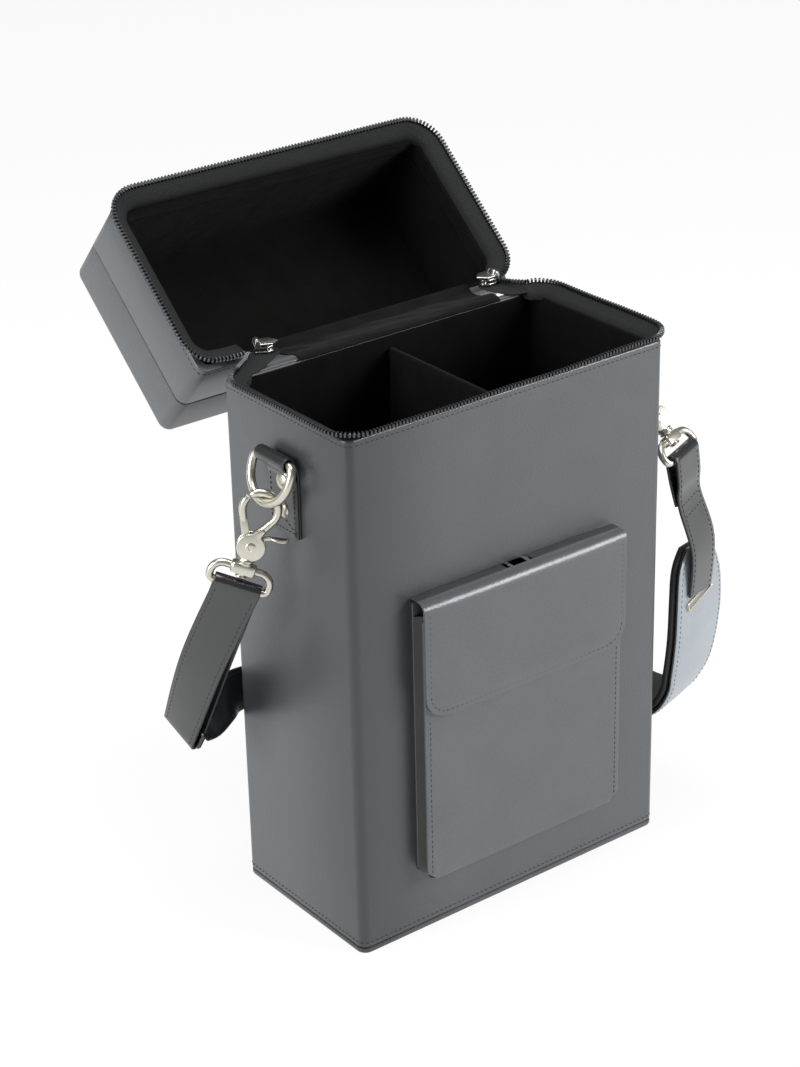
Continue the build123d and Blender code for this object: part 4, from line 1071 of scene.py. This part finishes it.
def eye(side):
    """Swivel eye: a rounded wire frame for the strap, with a bored block that turns on the hook's post."""
    eye_corners = [(-15.0, 0, 0), (15.0, 0, 0), (15.0, -9.8, 0), (-15.0, -9.8, 0)]
    loop = rounded(eye_corners, [6.0, 6.0, 2.6, 2.6])
    shape = wire(loop, [2.0] * len(loop), closed=True)
    rings = [(1.0, -2.7), (0.3, -2.5), (0.0, -1.8), (0.0, 1.8), (0.3, 2.5), (1.0, 2.7)]
    block = boxed_skin(6.5, 3.2, 1.6, rings, "ends")
    caps = [face for face in block.faces if len(face.verts) > 4]
    bmesh.ops.inset_region(block, faces=caps, thickness=0.02)
    rims = {point for face in caps for point in face.verts}
    for point in rims:
        flat = Vector((point.co.x, point.co.y, 0)).normalized() * 2.2
        point.co = (flat.x, flat.y, point.co.z)
    loops = {line for face in caps for line in face.edges}
    bmesh.ops.delete(block, geom=caps, context="FACES_ONLY")
    bmesh.ops.bridge_loops(block, edges=list(loops))
    shape = joined(shape, block, Matrix.Rotation(-pi / 2, 4, "X"))
    fitting(shape, side, "eye", eye_places[side])


for out, side in ((-1, "left"), (1, "right")):
    tab(out, side)
    ring(out, side)
    hook(side)
    gate(side)
    eye(side)


def square_to(direction, axis):
    """The direction, turned square to the axis."""
    return (direction - axis * direction.dot(axis)).normalized()


def half_turn(centre, face, travel, radius, start, end, steps=8):
    """Centres of a strap's fold round a bar."""
    angles = [radians(start + (end - start) * step / steps) for step in range(steps + 1)]
    return [centre + face * (radius * cos(angle)) + travel * (radius * sin(angle)) for angle in angles]


# Left end of the strap: a closed loop between the eye and the black slider
left_bar = Vector((-127.3357, 5.497, 199.0889))
left_end = Vector((-140.0, 44.2, 106.2))
left_travel = (left_end - left_bar).normalized()
top_along = Vector((0.7274, -0.5926, -0.3459)).normalized()
top_travel = square_to(left_travel, top_along)
top_face = top_travel.cross(top_along).normalized()
end_along = Vector((0.10, -0.88, -0.46)).normalized()
end_travel = square_to(left_travel, end_along)
end_face = end_travel.cross(end_along).normalized()
middle = (left_bar + left_end) * 0.5 + Vector((-1.3, 1.0, 0))
middle_along = square_to((top_along + end_along).normalized(), left_travel)
middle_face = left_travel.cross(middle_along).normalized()
fold_radius, bar_radius, gap = 2.7, 3.05, 4.7
front_line = [left_bar + top_face * bar_radius, middle + middle_face * gap, left_end + end_face * fold_radius]
back_line = [left_end - end_face * fold_radius, middle - middle_face * gap, left_bar - top_face * bar_radius]
front_line = smoothed(front_line, 9)
back_line = smoothed(back_line, 9)
lower_fold = half_turn(left_end, end_face, end_travel, fold_radius, 0, 180)
upper_fold = half_turn(left_bar, top_face, -top_travel, bar_radius, 180, 0)
loop_centres = front_line[:-1] + lower_fold + back_line[1:-1] + upper_fold[:-1]
front_across = smoothed([top_along, middle_along, end_along], 9)
loop_across = front_across[:-1] + [end_along] * len(lower_fold)
loop_across += front_across[::-1][1:-1] + [top_along] * (len(upper_fold) - 1)
loop_places = places_along(loop_centres, loop_across, closed=True)
loop_widths = [strap_width] * len(loop_places)
loop_shape = ribbon(loop_places, loop_widths, strap_thick, closed=True)
name, node, finish = "left_strap_leather", "left_strap_loop", [strap_hide, edge_paint]
made(loop_shape, name, finish, "left_strap_body", [node], "dark_leather")
front_count = len(front_line)
loop_rows = strap_rows(loop_places[1:front_count], loop_widths[1:front_count])
back_start = front_count + len(lower_fold)
loop_rows += strap_rows(loop_places[back_start:-9], loop_widths[back_start:-9])
stitches(loop_rows, "left_strap_stitches", "left_strap_body")

bar_rings = [(0.0, 0.5), (0.0, 1.7), (0.5, 2.2), (1.6, 2.2), (2.1, 1.7), (2.1, 0.5), (1.6, 0.0), (0.5, 0.0)]
bar_frame = boxed_skin(14.3, 5.6, 1.6, bar_rings, "round")
bar_place = frame_of(left_end - end_face * 1.1, end_along, end_face.cross(end_along))
bar_place = bar_place @ Matrix.Translation((0, 4.5, 0))
name, node = "strap_slider_bar", "strap_slider"
made(bar_frame, name, slider_gloss, "left_strap_body", [node], "black_slider", place=bar_place)

# Right end of the strap: folded over the eye's bar, its short tail sewn behind
right_bar = Vector((124.8517, -40.3533, 212.5745))
right_along = Vector((0.9427, 0.3248, 0.0759)).normalized()
right_slot = Vector((132.4, -48.3, 132.0))
slot_along = Vector((0.93, 0.30, 0.20)).normalized()
right_travel = square_to((right_slot - right_bar).normalized(), right_along)
right_face = right_travel.cross(right_along).normalized()
slot_travel = square_to(right_travel, slot_along)
slot_face = slot_travel.cross(slot_along).normalized()
sewn = right_bar + right_travel * 26.0
right_middle = (sewn + right_slot) * 0.5 + Vector((4.3, -2.7, 0))
half_sewn = (sewn + right_bar) * 0.5
tail_points = [sewn - right_face * 0.9, half_sewn - right_face * 2.4, right_bar - right_face * bar_radius]
tail_line = smoothed(tail_points, 6)
fold_line = half_turn(right_bar, right_face, -right_travel, bar_radius, 180, 0)
front_points = [
    right_bar + right_face * bar_radius,
    half_sewn + right_face * 2.4,
    sewn + right_face * 0.9,
    right_middle,
    right_slot + slot_face * 0.75,
]
face_line = smoothed(front_points, 7)
right_centres = tail_line[:-1] + fold_line + face_line[1:]
right_across = [right_along] * (len(tail_line) - 1 + len(fold_line))
right_across += smoothed([right_along, right_along, right_along, slot_along, slot_along], 7)[1:]
right_places = places_along(right_centres, right_across)
right_widths = [strap_width] * len(right_places)
right_shape = ribbon(right_places, right_widths, strap_thick)
made(right_shape, "right_strap_leather", finish, "shoulder_strap_body", ["right_strap"], "dark_leather")
face_start = len(tail_line) + len(fold_line) - 1
right_rows = strap_rows(right_places[face_start:], right_widths[face_start:])
for shift in (13, 15):
    spot = right_places[face_start + shift]
    row = []
    for x in (-9.3, -3.0, 3.0, 9.3):
        row.append((spot @ Vector((x, 0.75, 0)), spot.to_3x3() @ Vector((0, 1, 0))))
    right_rows.append(row)
stitches(right_rows, "right_strap_stitches", "shoulder_strap_body")

# Strap behind the case
back_route = [
    ((-122.0, 50.5, 103.5), (0.12, -0.72, -0.68)),
    ((-109.0, 55.5, 105.5), (0.12, -0.45, -0.88)),
    ((-97.0, 58.5, 107.3), (0.05, -0.15, -0.98)),
    ((-75.0, 60.5, 104.0), (0.0, 0.0, -1.0)),
    ((-30.0, 65.0, 93.0), (0.0, 0.0, -1.0)),
    ((20.0, 69.0, 81.0), (0.0, 0.0, -1.0)),
    ((65.0, 70.0, 73.0), (0.0, 0.0, -1.0)),
    ((90.0, 67.0, 68.5), (0.1, -0.1, -0.99)),
    ((106.0, 58.0, 65.0), (0.45, -0.35, -0.82)),
    ((114.5, 43.0, 63.2), (0.85, -0.35, -0.38)),
]
back_first = left_end - end_face * (fold_radius + strap_thick + 2.0)
back_points = smoothed([back_first] + [Vector(point) for point, along in back_route], 4)
back_alongs = smoothed([end_along] + [Vector(along).normalized() for point, along in back_route], 4)
back_places = places_along(back_points, back_alongs)
back_widths = [strap_width] * len(back_places)
back_shape = ribbon(back_places, back_widths, strap_thick)
made(back_shape, "back_strap_leather", finish, "case", ["back_strap"], "dark_leather")
back_rows = []
for face_side in (1, -1):
    back_rows += strap_rows(back_places, back_widths, side=face_side)
stitches(back_rows, "back_strap_stitches", "case")


# Shoulder pad
pad_route = [
    ((134.0, -40.2, 157.0), (0.95, 0.30, 0.10), 18.0),
    ((134.0, -41.6, 148.5), (0.95, 0.30, 0.10), 37.0),
    ((134.2, -43.4, 133.0), (0.95, 0.30, 0.10), 47.0),
    ((134.2, -43.4, 110.5), (0.95, 0.30, 0.10), 50.0),
    ((133.0, -41.0, 87.0), (0.95, 0.30, 0.10), 49.0),
    ((130.2, -38.4, 74.0), (0.95, 0.30, 0.10), 46.0),
    ((127.0, -33.5, 64.5), (0.97, 0.24, 0.08), 43.0),
    ((125.5, -24.0, 58.5), (0.99, 0.14, 0.04), 42.0),
    ((124.5, -6.0, 56.0), (1.0, 0.0, 0.0), 42.0),
    ((122.5, 14.0, 57.5), (0.99, -0.10, -0.05), 37.0),
    ((118.0, 32.0, 61.0), (0.95, -0.22, -0.20), 22.0),
]
pad_points = smoothed([Vector(point) for point, along, width in pad_route], 4)
pad_alongs = smoothed([Vector(along).normalized() for point, along, width in pad_route], 4)
pad_widths = smoothed([width for point, along, width in pad_route], 4)
pad_places = places_along(pad_points, pad_alongs)


def pad_layer(out, thick, crown, name, finish, node):
    """One layer of the pad, out from the middle of the strap by a distance."""
    places = [place @ Matrix.Translation((0, out, 0)) for place in pad_places]
    layer = ribbon(places, pad_widths, thick, crown=crown, edge=min(1.1, thick / 2 - 0.05))
    piece = made(layer, name, finish, "shoulder_strap_body", [node], "pad_leather", sharp=70.0)


face_lift = 2.25
pad_layer(face_lift, 2.3, 0.5, "pad_face_leather", [pad_hide, edge_paint], "pad_face")
pad_layer(-1.35, 4.1, 0.0, "pad_cushion_padded", [cushion_hide, cushion_hide], "pad_cushion")
pad_face_places = [place @ Matrix.Translation((0, face_lift, 0)) for place in pad_places]
stitches(strap_rows(pad_face_places[2:-2], pad_widths[2:-2], 2.5, 3.2), "pad_stitches", "shoulder_strap_body")


def slot_trim(place):
    """Metal rim of a slot in the pad."""
    rings = [(0.0, 0.2), (0.0, 0.7), (0.2, 0.9), (0.7, 0.9), (0.9, 0.7), (0.9, 0.2), (0.7, 0.0), (0.2, 0.0)]
    rim_frame = boxed_skin(13.2, 2.3, 0.8, rings, "round")
    bmesh.ops.transform(rim_frame, matrix=place @ Matrix.Translation((0, -2.3, 0)), verts=rim_frame.verts)
    return rim_frame


trims = slot_trim(frame_of(right_slot, slot_along, slot_face.cross(slot_along)))
route_centres = [Vector(point) for point, along, width in pad_route]
route_places = places_along(route_centres, [Vector(along).normalized() for point, along, width in pad_route])
low = route_places[-2]
low_x = low.to_3x3() @ Vector((1, 0, 0))
low_y = low.to_3x3() @ Vector((0, 1, 0))
low_trim = slot_trim(frame_of(low.translation + low_y * 3.75, low_x, low_y.cross(low_x)))
trims = joined(trims, low_trim)
made(trims, "pad_slot_trims", trim_metal, "shoulder_strap_body", ["pad_trims"], "nickel")

for name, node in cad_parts.items():
    for ending, finish in (("_board", board_paper), ("_snap", snap_metal)):
        if name.endswith(ending):
            node.data.materials.clear()
            node.data.materials.append(finish)


# Floor, light and camera
white = (1, 1, 1, 1)


def white_stage():
    """White floor that keeps a faint shadow of the object."""
    paint = Paint("floor_white", roughness=0.9, base_color=shade(0.9))
    rays = paint.node("ShaderNodeLightPath", {}, {}, "Is Camera Ray")
    glossy = paint.node("ShaderNodeLightPath", {}, {}, "Is Glossy Ray")
    glow = paint.node("ShaderNodeEmission", {}, {"Color": white, "Strength": 1.0})
    surface = Signal(paint, paint.shader.outputs[0])
    mixed = paint.node("ShaderNodeMixShader", {}, {0: (rays + glossy) * 0.9, 1: surface, 2: glow})
    output = paint.tree.nodes["Material Output"]
    paint.plug(output.inputs[0], mixed)
    floor = bmesh.new()
    bmesh.ops.create_circle(floor, cap_ends=True, segments=64, radius=6.0)
    bmesh.ops.translate(floor, vec=(0, 0, -0.0002), verts=floor.verts)
    mesh = bpy.data.meshes.new("floor")
    floor.to_mesh(mesh)
    floor.free()
    mesh.materials.append(paint.material)
    sheet = bpy.data.objects.new("floor", mesh)
    bpy.context.collection.objects.link(sheet)


white_stage()

world = bpy.data.worlds.new("studio_white")
bpy.context.scene.world = world
world.use_nodes = True
sky = world.node_tree
light_path = sky.nodes.new("ShaderNodeLightPath")
seen = sky.nodes.new("ShaderNodeMath")
seen.operation = "MAXIMUM"
sky.links.new(light_path.outputs["Is Camera Ray"], seen.inputs[0])
sky.links.new(light_path.outputs["Is Transmission Ray"], seen.inputs[1])
plain = sky.nodes["Background"]
bright = sky.nodes.new("ShaderNodeBackground")
for backdrop, strength in ((plain, 0.22), (bright, 1.0)):
    backdrop.inputs["Color"].default_value = white
    backdrop.inputs["Strength"].default_value = strength
blend = sky.nodes.new("ShaderNodeMixShader")
sky.links.new(seen.outputs[0], blend.inputs[0])
sky.links.new(plain.outputs[0], blend.inputs[1])
sky.links.new(bright.outputs[0], blend.inputs[2])
sky.links.new(blend.outputs[0], sky.nodes["World Output"].inputs[0])


def lamp(name, spot, aim, size, power):
    """Soft square lamp that looks at a point."""
    light = bpy.data.lights.new(name, "AREA")
    light.energy = power
    light.size = size
    holder = bpy.data.objects.new(name, light)
    holder.location = spot
    holder.rotation_mode = "QUATERNION"
    holder.rotation_quaternion = (Vector(aim) - Vector(spot)).to_track_quat("-Z", "Y")
    bpy.context.collection.objects.link(holder)


lamp("key_right", (1.1, -1.3, 0.9), (0.04, 0, 0.14), 0.9, 36.0)
lamp("fill_left", (-1.6, 0.1, 0.8), (0, 0, 0.18), 0.8, 22.0)
lamp("top_soft", (-0.1, 0.1, 1.6), (0, 0, 0.2), 1.0, 20.0)

# The photo's own view: its focal length and height are in pixels
focal_pixels, photo_tall = 2599.45, 1067
camera = bpy.data.cameras.new("photo_view")
camera.sensor_width = 36.0
camera.lens = focal_pixels / photo_tall * camera.sensor_width
camera.clip_start = 0.05
camera.clip_end = 40.0
viewer = bpy.data.objects.new("photo_view", camera)
right = Vector((0.79265154, -0.60927758, -0.02200839))
above = Vector((0.280534, 0.332441, 0.900436))
ahead = Vector((0.54129879, 0.71990581, -0.43443209))
viewer.matrix_world = Matrix((right, above, -ahead)).transposed().to_4x4()
viewer.matrix_world.translation = Vector((-743.67, -947.27, 771.14)) * MM
bpy.context.collection.objects.link(viewer)
bpy.context.scene.camera = viewer
bpy.context.scene.view_settings.view_transform = "Standard"
